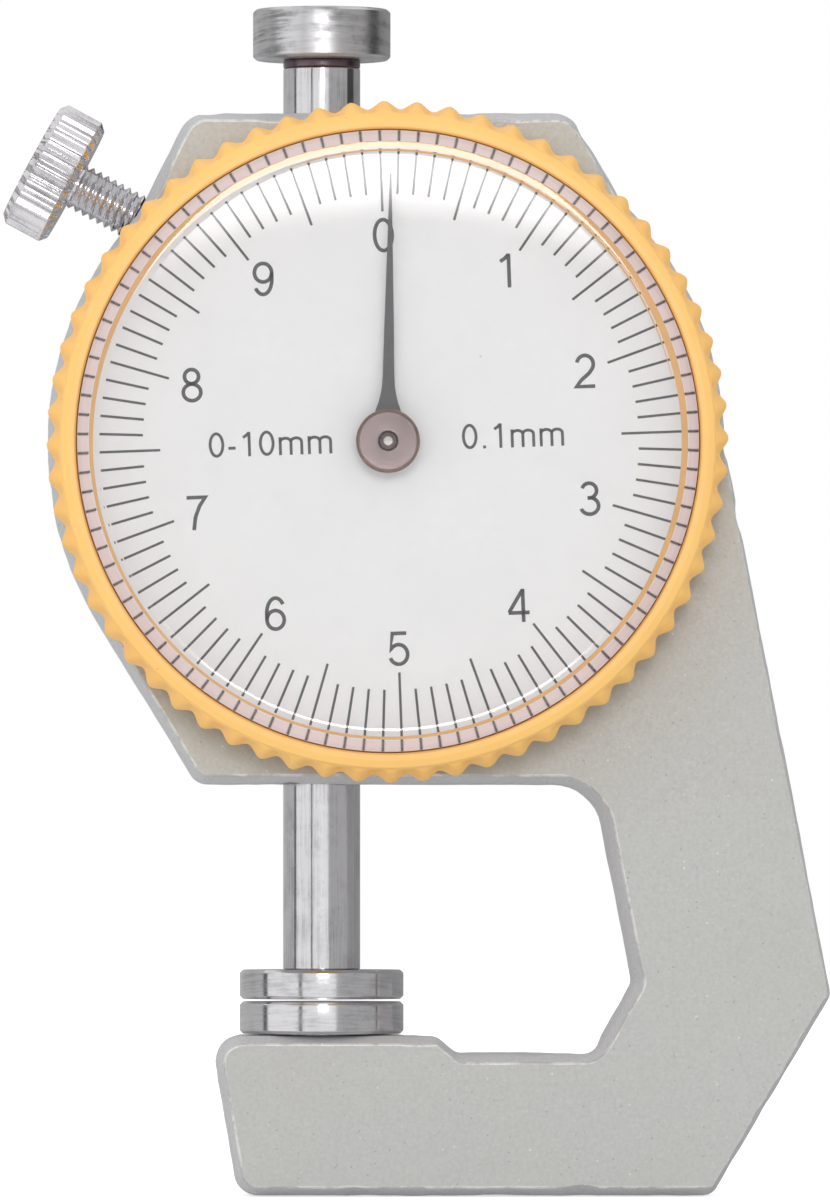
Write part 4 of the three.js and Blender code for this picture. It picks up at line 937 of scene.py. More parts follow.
class GaugeLock(PropertyGroup):
    ridges: number("Ridges", "Ridges of the knurl", 28, 3)
    ridge_depth: length("Ridge depth", "Depth of the knurl", 0.36 * MM)
    pitch: length("Pitch", "Pitch of the thread", 0.5 * MM)
    thread_depth: length("Thread depth", "Depth of the thread", 0.3 * MM)
    steel_colour: colour("Steel", "Colour of the screw", (0.68, 0.665, 0.685))


class GaugeStage(PropertyGroup):
    world: light("Room", "Light of the room", 0.82)
    key: light("Key", "Radiance of the upper softbox", 6.5)
    gleam: light("Gleam", "Upper softbox in mirrors", 14)
    side: light("Side", "Radiance of the left softbox", 0.6)


# Casting

def on_head(degrees):
    angle = math.radians(degrees)
    return (DIAL_X + HEAD_RADIUS * math.cos(angle), DIAL_Z + HEAD_RADIUS * math.sin(angle))


def head_arc(start, end, step=3):
    count = round(abs(end - start) / step)
    return [on_head(start + (end - start) * k / count) for k in range(count + 1)]


def scaled(rows):
    """Rows of numbers in millimetres, as metres."""
    return [tuple(part * MM for part in row) for row in rows]


def cast_outline():
    """The C-shaped silhouette as seen from the front, counterclockwise."""
    corners = scaled([(-5.17, 0, 1.5), (23.7, 0, 1), (30.96, 12.2, 1)])
    corners += head_arc(0, 46)
    corners += scaled([(15.12, 65.9, 1.9), (-8.12, 65.9, 1.9)])
    corners += head_arc(137.4, 210)
    corners += scaled([
        (-7.65, 24.98, 1.3), (16.63, 24.98, 3), (18.97, 12.94, 0.8), (16.54, 8.68, 1.2),
        (8.3, 8.68, 0.8), (6.95, 9.75, 0.8), (-6.85, 9.75, 1.6),
    ])
    return rounded(corners, closed=True, steps=8)


def evenly(points, step):
    """A closed path with points added along its long stretches."""
    made = []
    for here, after in zip(points, points[1:] + points[:1]):
        count = max(1, math.ceil((after - here).length / step))
        made += [here.lerp(after, k / count) for k in range(count)]
    return made


def inward_ways(points):
    """At each point of a counterclockwise path, the way into it, long enough to mitre."""
    ways = []
    for k, here in enumerate(points):
        back = (here - points[k - 1]).normalized()
        ahead = (points[(k + 1) % len(points)] - here).normalized()
        first, second = Vector((-back.y, back.x)), Vector((-ahead.y, ahead.x))
        middle = (first + second).normalized()
        ways.append(middle / max(0.6, middle.dot(first)))
    return ways


# Stations of the casting's edge, in millimetres: how far it is drawn in, and its height
RIM_STATIONS = [
    (0.60, 5.2), (0.54, 5.18), (0.49, 5.12), (0.44, 5.0), (0.36, 4.77), (0.24, 4.43), (0.12, 4.11),
    (0.03, 3.85), (0, 3.6),
]
# Bands next to each face that take the rim's painted highlight.
RIM_HIGHLIGHT_BANDS = 3
FACE, SIDE_LIT, RIM_HIGHLIGHT, INNER = range(4)
WANDERS = [(200, 0.5), (800, 0.4)]
MEAN_WEAR = 0.35
WEAR_SPREAD = 0.6
NICKS = Vector((3.7, 1.3, 8.1))
NICK_CELLS = 420
NICK_FROM = 0.32
NICK_SLOPE = 3.0
MOST_WEAR = 1.6
RIGHT_TAPER = 0.62


def cast_shell(waviness):
    """The outside of the casting: stations of the outline, drawn in towards both faces."""
    points = evenly(cast_outline(), 0.5 * MM)
    ways = inward_ways(points)
    stations = scaled(RIM_STATIONS)
    stations = [(inset, -height) for inset, height in stations] + stations[::-1]
    bm = bmesh.new()
    rings = []
    for inset, height in stations:
        ring = []
        for point, way in zip(points, ways):
            spot = Vector((point.x, point.y, height))
            wander = sum(share * noise.noise(spot * cells) for cells, share in WANDERS)
            nick = max(0.0, noise.noise(spot * NICK_CELLS + NICKS) - NICK_FROM) * NICK_SLOPE
            machined = abs(point.x) < TIP_RADIUS and abs(point.y - ARM_TOP) < HAIR
            wear = 0.0 if machined else max(0.0, MEAN_WEAR + WEAR_SPREAD * wander) + nick
            right = max(0.0, -way.x)
            drawn = inset * (1 - RIGHT_TAPER * right * right) + waviness * min(MOST_WEAR, wear)
            at = point + way * drawn
            ring.append(bm.verts.new((at.x, max(at.y, 0.0), height)))
        rings.append(ring)
    for level, (low, high) in enumerate(zip(rings, rings[1:])):
        depth = min(level, len(rings) - 2 - level)
        for k in range(len(points)):
            side = bm.faces.new([low[k - 1], low[k], high[k], high[k - 1]])
            # The bands next to each face take the rim's painted highlight, the bands beyond take the
            # sides' painted light.
            side.material_index = RIM_HIGHLIGHT if depth < RIM_HIGHLIGHT_BANDS else SIDE_LIT
    for ring in (rings[0], rings[-1]):
        bm.faces.new(ring).material_index = FACE
    bmesh.ops.recalc_face_normals(bm, faces=bm.faces)
    bm.transform(UPRIGHT)
    return bm


def inner_surface(bm):
    for face in bm.faces:
        face.material_index = INNER
    return bm


def screw_places():
    angles = [math.radians(degrees) for degrees in SCREW_ANGLES]
    return [(SCREW_REACH * math.cos(angle), SCREW_REACH * math.sin(angle)) for angle in angles]


def cavity():
    """The room of the movement, without the bosses that stand in it."""
    room = drum(CAVITY_RADIUS, -BEYOND, WEB_BACK, sides=FINE_SIDES)
    bosses = [drum(BOSS_RADIUS, -BEYOND - MM, HALF_THICKNESS, x, y) for x, y in screw_places()]
    lock_boss = drum(LOCK_BOSS_RADIUS, LOCK_BOSS_LOW, LOCK_BOSS_HIGH)
    bosses.append(moved(lock_boss, ON_DIAL.inverted() @ ON_LOCK))
    return moved(carved(room, [("DIFFERENCE", boss) for boss in bosses]), ON_DIAL)


def bore(radius, low, high, chamfer=0.0):
    """A cutter for a bore on the plunger's axis that opens at its upper or lower end."""
    outline = [(0, low), (radius, low), (radius, high - chamfer)]
    outline += [(radius + chamfer, high), (radius + chamfer, high + MM), (0, high + MM)]
    return lathe(outline, BORE_SIDES)


class GAUGE_OT_casting(Operator):
    """Build the die-cast frame"""

    bl_idname = "gauge.casting"
    bl_label = "Casting"

    def execute(self, context):
        size = context.scene.gauge_casting
        materials = [
            cast_finish("cast_face", size.face_colour, 0.5, 0.08, 0.3),
            # The sides' finish is the cast finish painted lighter: painted light on the narrow
            # sides.
            cast_finish("cast_side", size.side_colour, 0.48, 0.15, 0.3),
            # The rim's finish is painted lighter, with darker patches: a painted highlight along the
            # rounded edge, broken up in places.
            cast_finish("cast_rim", size.rim_colour, 0.42, 0.15, 0.3, 0.9),
            cast_finish("cast_inside", size.inner_colour, 0.42, 0.6, 0.2),
        ]
        seat = drum(SEAT_RADIUS, WEB_BACK, SEAT_FRONT, sides=FINE_SIDES)
        low, high = SNAP_MIDDLE - SNAP_HALF, SNAP_MIDDLE + SNAP_HALF
        wide = SEAT_RADIUS + MM
        groove = [(SNAP_INNER, low), (wide, low), (wide, high), (SNAP_INNER, high)]
        rooms = [
            drum(CAVITY_RADIUS, HALF_THICKNESS, SEAT_FRONT + MM, sides=FINE_SIDES),
            drum(COVER_RADIUS + PLAY, -BEYOND, -COVER_SEAT, sides=FINE_SIDES),
            lathe(groove + groove[:1], FINE_SIDES),
            drum(BEARING_HOLE, 0, BEYOND),
        ]
        thread = SCREW_SHANK + PLAY
        holes = [
            drum(thread, -COVER_SEAT - MM, -COVER_SEAT + SCREW_LENGTH, x, y)
            for x, y in screw_places()
        ]
        for up in (BRIDGE_SPAN, -BRIDGE_SPAN):
            holes.append(drum(thread, WEB_BACK - MM, HOLE_END, BRIDGE_X - DIAL_X, up))
        post = (POST_X - DIAL_X, POST_Z - DIAL_Z)
        post_hole = drum(POST_HOLE_RADIUS, WEB_BACK - MM, HOLE_END, *post)
        cuts = [moved(tool, ON_DIAL) for tool in rooms] + [cavity()]
        cuts += [moved(tool, ON_DIAL) for tool in holes]
        cuts += [block(*GUIDE_GROOVE), moved(post_hole, ON_DIAL)]
        bush = BUSH_RADIUS + PLAY
        cuts.append(bore(bush, HEAD_HIGH - BUSH_BORE_DEPTH, HEAD_HIGH, BUSH_CHAMFER))
        foot = bore(bush, -HEAD_LOW - BUSH_BORE_DEPTH, -HEAD_LOW, BUSH_CHAMFER)
        cuts.append(moved(foot, Matrix.Rotation(math.pi, 4, "X")))
        cuts.append(bore(STEM_RADIUS + PLAY, STEM_LOW - PLAY, ARM_TOP))
        lock_bore = drum(LOCK_THREAD_RADIUS + THREAD_PLAY, 0, LOCK_BOSS_HIGH + MM)
        cuts.append(moved(lock_bore, ON_LOCK))
        steps = [("UNION", inner_surface(moved(seat, ON_DIAL)))]
        steps += [("DIFFERENCE", inner_surface(cut)) for cut in cuts]
        body = carved(cast_shell(size.waviness), steps, materials)
        put("casting", body, materials, "frame", ["frame_casting"])
        return {"FINISHED"}


# Anvil, plunger and button

def chamfered(radius, low, high, chamfer, soften=0.05 * MM):
    """The outline of a disc's rim with a chamfer on both edges."""
    return [
        (radius - chamfer, low, soften), (radius, low + chamfer, soften),
        (radius, high - chamfer, soften), (radius - chamfer, high, soften),
    ]


def ground_steel(steel):
    """The finish of the anvil and the contact disc."""
    return steel_finish("turned_steel", steel.steel_colour, 0.12, ON_PLUNGER, 4600.0, 0.3)


def movement_brass(steel):
    return worked_metal("movement_brass", steel.brass_colour, 0.34)


def spring_wire():
    return worked_metal("spring_wire", WIRE_COLOUR, 0.34)


class GAUGE_OT_anvil(Operator):
    """Build the anvil disc on the lower arm"""

    bl_idname = "gauge.anvil"
    bl_label = "Anvil"

    def execute(self, context):
        size = context.scene.gauge_steel
        disc = turned([
            (0, STEM_LOW), (STEM_RADIUS, STEM_LOW), (STEM_RADIUS, ANVIL_LOW),
            *chamfered(TIP_RADIUS, ANVIL_LOW, ANVIL_HIGH, size.tip_chamfer), (0, ANVIL_HIGH),
        ], ROUND_SIDES, steps=3)
        put("anvil", disc, [ground_steel(size)], "frame", ["anvil_disc"])
        return {"FINISHED"}


def rack_gaps():
    """The gaps between the rack's teeth, as copies of one wedge on a line of points."""
    outside = ROD_RADIUS + MM
    half = RACK_PITCH / 4
    slope = math.tan(PRESSURE_ANGLE)
    root = half - (RACK_LINE - RACK_ROOT) * slope + RACK_NARROWING / 2
    mouth = half + (outside - RACK_LINE) * slope + RACK_NARROWING / 2
    corners = [(RACK_ROOT, -root), (outside, -mouth), (outside, mouth), (RACK_ROOT, root)]
    wedge = moved(slab(corners, -ROD_RADIUS, ROD_RADIUS), UPRIGHT)
    spots = [(0, 0, DIAL_Z + (k + 0.5) * RACK_PITCH) for k in RACK_TEETH]
    return copied(wedge, spots, {"Spin": 0.0, "Seed": 0})


def copied(bm, spots, values):
    """Copies of a mesh on a list of places."""
    copy = loose_object(bm)
    points = bmesh.new()
    for spot in spots:
        points.verts.new(spot)
    made = grown(points, copies_tree(), {"Copy": copy, **values})
    bpy.data.objects.remove(copy)
    return made


class GAUGE_OT_plunger(Operator):
    """Build the plunger with its contact disc, washer and button, and its bushes"""

    bl_idname = "gauge.plunger"
    bl_label = "Plunger"

    def execute(self, context):
        size = context.scene.gauge_steel
        steel = size.steel_colour
        drawn = steel_finish("drawn_steel", steel, 0.1, ON_PLUNGER, 7000.0, 0.2, True)
        scratched = steel_finish(
            "scratched_steel", shade(steel, 0.93), 0.3, ON_PLUNGER, 3000.0, 0.8, worn=0.3
        )
        dark = steel_finish("dark_steel", size.washer_colour, 0.26, ON_PLUNGER)
        edge = 0.1 * MM
        rod = turned([
            (0, STUD_LOW), (STUD_RADIUS, STUD_LOW), (STUD_RADIUS, ROD_BOTTOM),
            (ROD_RADIUS, ROD_BOTTOM, edge), (ROD_RADIUS, ROD_TOP, edge), (BUTTON_STUD, ROD_TOP),
            (BUTTON_STUD, BUTTON_STUD_HIGH), (0, BUTTON_STUD_HIGH),
        ], ROUND_SIDES)
        hole = drum(GUIDE_PIN_RADIUS + PLAY, ROD_RADIUS - GUIDE_PIN_DEPTH - PLAY, ROD_RADIUS + MM)
        across = Matrix.Translation((0, 0, GUIDE_PIN_Z)) @ Matrix.Rotation(-math.pi / 2, 4, "Y")
        rod = carved(rod, [("DIFFERENCE", rack_gaps()), ("DIFFERENCE", moved(hole, across))])
        put("plunger_rod", rod, [drawn], "spindle", ["spindle_rod"])
        seat, bottom = STUD_RADIUS + PLAY, STUD_LOW - PLAY
        disc = turned([
            (0, CONTACT_LOW), *chamfered(TIP_RADIUS, CONTACT_LOW, ROD_BOTTOM, size.tip_chamfer),
            (seat, ROD_BOTTOM), (seat, bottom), (0, bottom),
        ], ROUND_SIDES, steps=3)
        put("contact", disc, [ground_steel(size)], "spindle", ["contact_disc"])
        seat, top = BUTTON_STUD + PLAY, BUTTON_STUD_HIGH + PLAY
        rim = chamfered(BUTTON_RADIUS, BUTTON_LOW, BUTTON_HIGH, size.button_chamfer, 0.15 * MM)
        cap = turned([
            (0, top), (seat, top), (seat, BUTTON_LOW), *rim, (0, BUTTON_HIGH),
        ], ROUND_SIDES)
        put("button", cap, [scratched], "spindle", ["top_button"])
        ring = turned([
            (seat, ROD_TOP), (ROD_RADIUS, ROD_TOP, edge), (ROD_RADIUS, BUTTON_LOW, edge),
            (seat, BUTTON_LOW), (seat, ROD_TOP),
        ])
        put("washer", ring, [dark], "spindle", ["button_washer"])
        bushes = bmesh.new()
        inner = ROD_RADIUS + PLAY
        for low in (HEAD_LOW + BUSH_INSET, HEAD_HIGH - BUSH_INSET - BUSH_LENGTH):
            high = low + BUSH_LENGTH
            add_to(bushes, turned([
                (inner, low), (inner + edge, low), (BUSH_RADIUS, low, edge),
                (BUSH_RADIUS, high, edge), (inner + edge, high), (inner, high),
                (inner, low),
            ]))
        nodes = ["lower_bush", "upper_bush"]
        put("bushes", bushes, [movement_brass(size)], "frame", nodes)
        return {"FINISHED"}


def add_to(bm, other):
    """Adds another mesh to a mesh."""
    mesh = bpy.data.meshes.new("part")
    other.to_mesh(mesh)
    other.free()
    bm.from_mesh(mesh)
    bpy.data.meshes.remove(mesh)


# Cover and its screws

class GAUGE_OT_cover(Operator):
    """Build the cover of the movement and its four slotted screws"""

    bl_idname = "gauge.cover"
    bl_label = "Cover"

    def execute(self, context):
        size = context.scene.gauge_steel
        plate = steel_finish("cover_plate", size.cover_colour, 0.36, ON_DIAL, 9000.0, 0.15)
        black = worked_metal("black_screws", size.dark_colour, 0.36)
        back, front = -COVER_SEAT - COVER_THICKNESS, -COVER_SEAT
        edge = 0.18 * MM
        disc = turned([
            (0, back), (COVER_RADIUS - edge, back, edge / 2),
            (COVER_RADIUS, back + edge, edge / 2), (COVER_RADIUS, front), (0, front),
        ], DISC_SIDES)
        head, shank, cone = SCREW_HEAD + PLAY, SCREW_SHANK + PLAY, back + SCREW_CONE
        sink = [
            (0, back - MM), (head, back - MM), (head, back), (shank, cone), (shank, front + MM),
            (0, front + MM),
        ]
        steps = []
        for x, y in screw_places():
            tool = moved(lathe(sink, SCREW_SIDES), Matrix.Translation((x, y, 0)))
            steps.append(("DIFFERENCE", tool))
        body = moved(carved(disc, steps), ON_DIAL)
        put("cover", body, [plate], "frame", ["rear_cover"])
        end = back + SCREW_LENGTH
        screw = turned([
            (0, back), (SCREW_HEAD - 0.1 * MM, back), (SCREW_HEAD, back + 0.08 * MM),
            (SCREW_SHANK, cone), (SCREW_SHANK, end), (0, end),
        ], SCREW_SIDES)
        slot = block((-2 * MM, 2 * MM), (-SLOT_HALF, SLOT_HALF), (back - MM, back + SLOT_DEPTH))
        screw = carved(screw, [("DIFFERENCE", slot)])
        spots = [(x, y, 0) for x, y in screw_places()]
        screws = copied(screw, spots, {"Spin": math.pi, "Seed": 7, "Material": black})
        nodes = [f"rear_cover_screw_{k}" for k in (1, 2, 3, 4)]
        put("cover_screws", moved(screws, ON_DIAL), [black], "frame", nodes)
        return {"FINISHED"}


# Bezel, crystal and dial

class GAUGE_OT_bezel(Operator):
    """Build the toothed bezel"""

    bl_idname = "gauge.bezel"
    bl_label = "Bezel"

    def execute(self, context):
        size = context.scene.gauge_bezel
        plastic = bezel_finish("bezel_plastic", size)
        edge = 0.35 * MM
        tip, valley = BEZEL_TIP, BEZEL_TIP - size.tooth_depth
        outer = [
            (valley - 0.1 * MM, BEZEL_BACK), (tip - edge, BEZEL_BACK, 0.12 * MM),
            (tip, BEZEL_BACK + edge, 0.12 * MM), (tip, BEZEL_SHOULDER - 0.5 * MM, 0.2 * MM),
            (tip - 0.2 * MM, BEZEL_SHOULDER - 0.05 * MM, 0.15 * MM),
        ]
        low, high = SNAP_MIDDLE - SNAP_HALF, SNAP_MIDDLE + SNAP_HALF
        inside = [
            (BEZEL_BORE, DIAL_BACK), (BEZEL_BEARING, DIAL_BACK), (BEZEL_BEARING, high),
            (SNAP_GROOVE, high), (SNAP_GROOVE, low), (BEZEL_BEARING, low),
            (BEZEL_BEARING, BEZEL_BACK),
        ]
        ring = turned([inside[-1], *outer, *BEZEL_BAND, *inside], size.teeth * TOOTH_SIDES, steps=4)
        values = {
            "Ridges": size.teeth, "Turns per Metre": 0.0, "Depth": size.tooth_depth,
            "From": BEZEL_BACK - MM, "To": BEZEL_CREST, "Fade": 0.3 * MM,
            "Beyond": BEZEL_CREASE, "Growth": 0.45 * MM, "Roundness": 1.0, "Material": plastic,
        }
        turn = Matrix.Rotation(-size.turn, 4, "Z")
        body = moved(grown(ring, ridge_tree(), values), ON_DIAL @ turn)
        put("bezel_rim", body, [plastic], "bezel", ["bezel_ring"])
        repaint(spring_wire(), "bezel_snap_ring")
        return {"FINISHED"}


def crystal_top(radius):
    """The front of the crystal is a very low dome with a slight step up near its edge."""
    share = (radius - CRYSTAL_STEP_FROM) / (CRYSTAL_STEP_TO - CRYSTAL_STEP_FROM)
    share = max(0.0, min(1.0, share))
    rise = CRYSTAL_STEP * share * share * (3 - 2 * share)
    return CRYSTAL_FRONT - CRYSTAL_SAG * (radius / CRYSTAL_FLAT) ** 2 + rise


class GAUGE_OT_crystal(Operator):
    """Build the clear crystal"""

    bl_idname = "gauge.crystal"
    bl_label = "Crystal"

    def execute(self, context):
        size = context.scene.gauge_crystal
        foot = DIAL_FRONT + CRYSTAL_GAP
        soft = 0.05 * MM
        outline = [
            (0, CRYSTAL_INSIDE), (CRYSTAL_SKIRT, CRYSTAL_INSIDE, soft), (CRYSTAL_SKIRT, foot),
            (DIAL_RADIUS, foot), (DIAL_RADIUS, CRYSTAL_INSIDE + soft, soft),
            (CRYSTAL_FLAT, crystal_top(CRYSTAL_FLAT), 0.25 * MM),
        ]
        reach = CRYSTAL_STEP_TO - CRYSTAL_STEP_FROM
        spots = [CRYSTAL_STEP_TO - reach * k / STEP_RINGS for k in range(STEP_RINGS)]
        spots += [CRYSTAL_STEP_FROM, CRYSTAL_STEP_FROM - 0.03 * MM]
        rings = range(DOME_RINGS - 1, -1, -1)
        spots += [CRYSTAL_STEP_FROM * k / DOME_RINGS for k in rings]
        outline += [(radius, crystal_top(radius)) for radius in spots]
        body = turned(outline, CRYSTAL_SIDES, steps=6)
        for face in body.faces:
            spot = face.calc_center_median()
            bevelled = spot.z > CRYSTAL_INSIDE + HAIR and spot.xy.length > CRYSTAL_FLAT
            face.material_index = 1 if bevelled else 0
        clear = crystal_finish("clear_acrylic", CLEAR_COLOUR, 0.012)
        # Painted reflection: the bevelled faces get a pink tint, for the orange bezel that the edge
        # mirrors.
        reflection_tinted_bevel = crystal_finish("clear_acrylic_edge", size.edge_tint, 0.12)
        put("crystal_glass", moved(body, ON_DIAL), [clear, reflection_tinted_bevel], "bezel",
            ["crystal"], CRYSTAL_SHARP)
        low, high, wide = foot, foot + SPACER_HEIGHT, CRYSTAL_SKIRT - soft
        ring = turned([
            (SPACER_INNER, low), (wide, low), (wide, high - 0.1 * MM),
            (SPACER_INNER + 0.5 * MM, high, 0.1 * MM),
            (SPACER_INNER + 0.06 * MM, low + 0.06 * MM, 0.04 * MM), (SPACER_INNER, low),
        ], SPACER_SIDES)
        plastic = plastic_finish("spacer_plastic", size.spacer_colour)
        put("dial_spacer", moved(ring, ON_DIAL), [plastic], "bezel")
        return {"FINISHED"}


def arc(x, y, wide, tall, start, end, steps=14):
    """Points on an arc, from one angle in degrees to another."""
    spots = []
    for k in range(steps + 1):
        angle = math.radians(start + (end - start) * k / steps)
        spots.append((x + wide * math.cos(angle), y + tall * math.sin(angle)))
    return spots


# The pen strokes and the advance of each sign, in shares of the height of a numeral
SIX = [arc(0.015, 0.5, 0.265, 0.45, 36, 180, 12) + [(-0.25, 0.32)],
       arc(0.0, 0.32, 0.25, 0.27, 0, 352, 24)]
SIGNS = {
    "0": [arc(0, 0.5, 0.255, 0.45, 0, 352, 28)],
    "1": [[(0.075, 0.0), (0.075, 0.98)], [(0.075, 0.96), (-0.03, 0.85), (-0.17, 0.76)]],
    "2": [arc(0, 0.695, 0.24, 0.255, 168, -32)
          + [(0.1, 0.42), (-0.12, 0.24), (-0.265, 0.05), (0.275, 0.05)]],
    "3": [arc(-0.015, 0.735, 0.215, 0.215, 160, -80) + [(-0.07, 0.52)],
          arc(-0.015, 0.29, 0.26, 0.24, 88, -162, 18)],
    "4": [[(0.13, 0.0), (0.13, 0.96)], [(0.12, 0.93), (-0.285, 0.285)],
          [(-0.3, 0.27), (0.31, 0.27)]],
    "5": [[(0.24, 0.945), (-0.165, 0.945), (-0.23, 0.47)]
          + arc(0.0, 0.335, 0.26, 0.285, 138, -160, 18)],
    "6": SIX,
    "7": [[(-0.27, 0.945), (0.27, 0.945), (0.1, 0.7), (-0.03, 0.38), (-0.085, 0.0)]],
    "8": [arc(0, 0.745, 0.205, 0.205, 0, 345, 22), arc(0, 0.285, 0.255, 0.24, 0, 345, 22)],
    "9": [[(-x, 1 - y) for x, y in stroke] for stroke in SIX],
    "-": [[(-0.145, 0.35), (0.145, 0.35)]],
    ".": [[(0, 0.0), (0, 0.12)]],
    "m": [[(-0.43, 0), (-0.43, 0.72)],
          arc(-0.215, 0.52, 0.215, 0.155, 180, 0, 10) + [(0.0, 0.0)],
          arc(0.215, 0.52, 0.215, 0.155, 180, 0, 10) + [(0.43, 0.0)]],
}
DIGIT_ADVANCE = 0.777
ADVANCES = {"-": 0.465, ".": 0.388, "m": 1.163}


def pen_stroke(bm, path, width, low, high):
    """A stroke of even width along a flat path; one that ends close to its start is closed."""
    path = [Vector(spot) for spot in path]
    closed = len(path) > 8 and (path[0] - path[-1]).length < width
    count = len(path)
    stations = []
    for k, here in enumerate(path):
        back = here - path[k - 1] if k or closed else None
        ahead = path[(k + 1) % count] - here if k < count - 1 or closed else None
        first = (back or ahead).normalized()
        second = (ahead or back).normalized()
        along = (first + second).normalized()
        across = Vector((-along.y, along.x))
        reach = width / 2 / max(0.5, along.dot(first))
        left, right = here + across * reach, here - across * reach
        stations.append([
            bm.verts.new((left.x, left.y, high)), bm.verts.new((right.x, right.y, high)),
            bm.verts.new((right.x, right.y, low)), bm.verts.new((left.x, left.y, low)),
        ])
    pairs = list(zip(stations, stations[1:] + stations[:1]))
    for here, after in pairs if closed else pairs[:-1]:
        for k in range(4):
            bm.faces.new([here[k - 1], here[k], after[k], after[k - 1]])
    if not closed:
        bm.faces.new(stations[0])
        bm.faces.new(stations[-1])


def advance_of(sign):
    return ADVANCES.get(sign, DIGIT_ADVANCE)


def write(bm, words, height, pen, place, low, high):
    """Words in pen strokes, centred on a place, with their turn given by the place."""
    width = sum(advance_of(sign) for sign in words) * height
    start = -width / 2
    for sign in words:
        advance = advance_of(sign)
        middle = start + advance * height / 2
        for stroke in SIGNS[sign]:
            spots = []
            for x, y in stroke:
                spot = place @ Vector((middle + x * height, (y - 0.5) * height, 0))
                spots.append(spot.xy)
            pen_stroke(bm, spots, pen, low, high)
        start += advance * height


class GAUGE_OT_dial(Operator):
    """Build the dial, its graduations and its numerals"""

    bl_idname = "gauge.dial"
    bl_label = "Dial"

    def execute(self, context):
        size = context.scene.gauge_dial
        enamel = enamel_finish("dial_enamel", size.enamel_colour)
        ink = ink_finish("dial_ink", size.ink_colour)
        hole, soft = DIAL_HOLE, 0.03 * MM
        plate = turned([
            (hole, DIAL_BACK), (DIAL_RADIUS, DIAL_BACK, soft), (DIAL_RADIUS, DIAL_FRONT, soft),
            (hole, DIAL_FRONT, soft), (hole, DIAL_BACK),
        ], DISC_SIDES, steps=2)
        put("dial_face", moved(plate, ON_DIAL), [enamel], "bezel", ["dial_plate"])
        low, high = DIAL_FRONT - PRINT_HIGH / 4, DIAL_FRONT + PRINT_HIGH
        start = bmesh.new()
        start.verts.new((0, 0, 0))
        values = {
            "Divisions": size.divisions, "Long Every": size.long_every, "Outer End": LINES_TO,
            "Short Inner End": SHORT_LINES_FROM, "Long Inner End": LONG_LINES_FROM,
            "Line Width": size.line_width, "Low": low, "High": high, "Turn": size.turn,
            "Material": ink,
        }
        printed = ON_DIAL @ Matrix.Translation((size.print_offset, 0, 0))
        lines = moved(grown(start, scale_tree(), values), printed)
        put("dial_graduations", lines, [ink], "bezel")
        numerals = bmesh.new()
        words = []
        for k in range(10):
            bearing = size.turn + TURN * k / 10
            x = size.numeral_radius * math.sin(bearing)
            y = size.numeral_radius * math.cos(bearing)
            words.append((str(k), x, y, size.numeral_height, NUMERAL_PEN))
        words += [(text, *scaled([spot])[0]) for text, *spot in MARKINGS]
        for text, x, y, height, pen in words:
            place = Matrix.Translation((x, y, 0)) @ Matrix.Rotation(-size.turn, 4, "Z")
            write(numerals, text, height, pen, place, low, high)
        put("dial_numerals", moved(numerals, printed), [ink], "bezel")
        return {"FINISHED"}


# Pointer, hub and arbor

class GAUGE_OT_pointer(Operator):
    """Build the pointer with its hub and the arbor"""

    bl_idname = "gauge.pointer"
    bl_label = "Pointer"

    def execute(self, context):
        size = context.scene.gauge_pointer
        steel = context.scene.gauge_steel.steel_colour
        paint = ink_finish("pointer_paint", size.blade_colour)
        alloy = steel_finish("brushed_hub", size.hub_colour, 0.16, ON_DIAL, 7000.0, 0.7)
        spread = size.root_half_width - size.half_width
        right = [(size.root_half_width, 0)]
        right += [(size.half_width + spread * share, y * MM) for y, share in FLARE]
        right += [BLADE_WAIST, (BLADE_POINT, size.length)]
        left = [(-x, y) for x, y in reversed(right)]
        blade = slab(right + left, POINTER_BACK, POINTER_FRONT)
        boss = drum(BLADE_BOSS, POINTER_BACK, POINTER_FRONT, sides=TURNED_SIDES)
        hole = drum(HUB_BORE, POINTER_BACK - MM, POINTER_FRONT + MM)
        blade = carved(blade, [("UNION", boss), ("DIFFERENCE", hole)])
        place = ON_DIAL @ Matrix.Rotation(-size.turn, 4, "Z")
        put("needle", moved(blade, place), [paint], "pointer_arbor", ["pointer"])
        edge, soft, lead = 0.22 * MM, 0.05 * MM, 0.08 * MM
        hub = turned([
            (HUB_BORE, POINTER_FRONT), (HUB_RADIUS, POINTER_FRONT, soft),
            (HUB_RADIUS, HUB_FRONT - edge, soft), (HUB_RADIUS - edge, HUB_FRONT, soft),
            (HUB_BORE + lead, HUB_FRONT, 0.03 * MM), (HUB_BORE, HUB_FRONT - lead),
            (HUB_BORE, POINTER_FRONT),
        ], ROUND_SIDES, steps=4)
        put("hub", moved(hub, ON_DIAL), [alloy], "pointer_arbor", ["pointer_hub"])
        repaint(arbor_finish("arbor_steel", steel, size.centre_colour), "pinion_arbor")
        return {"FINISHED"}


# Lock screw

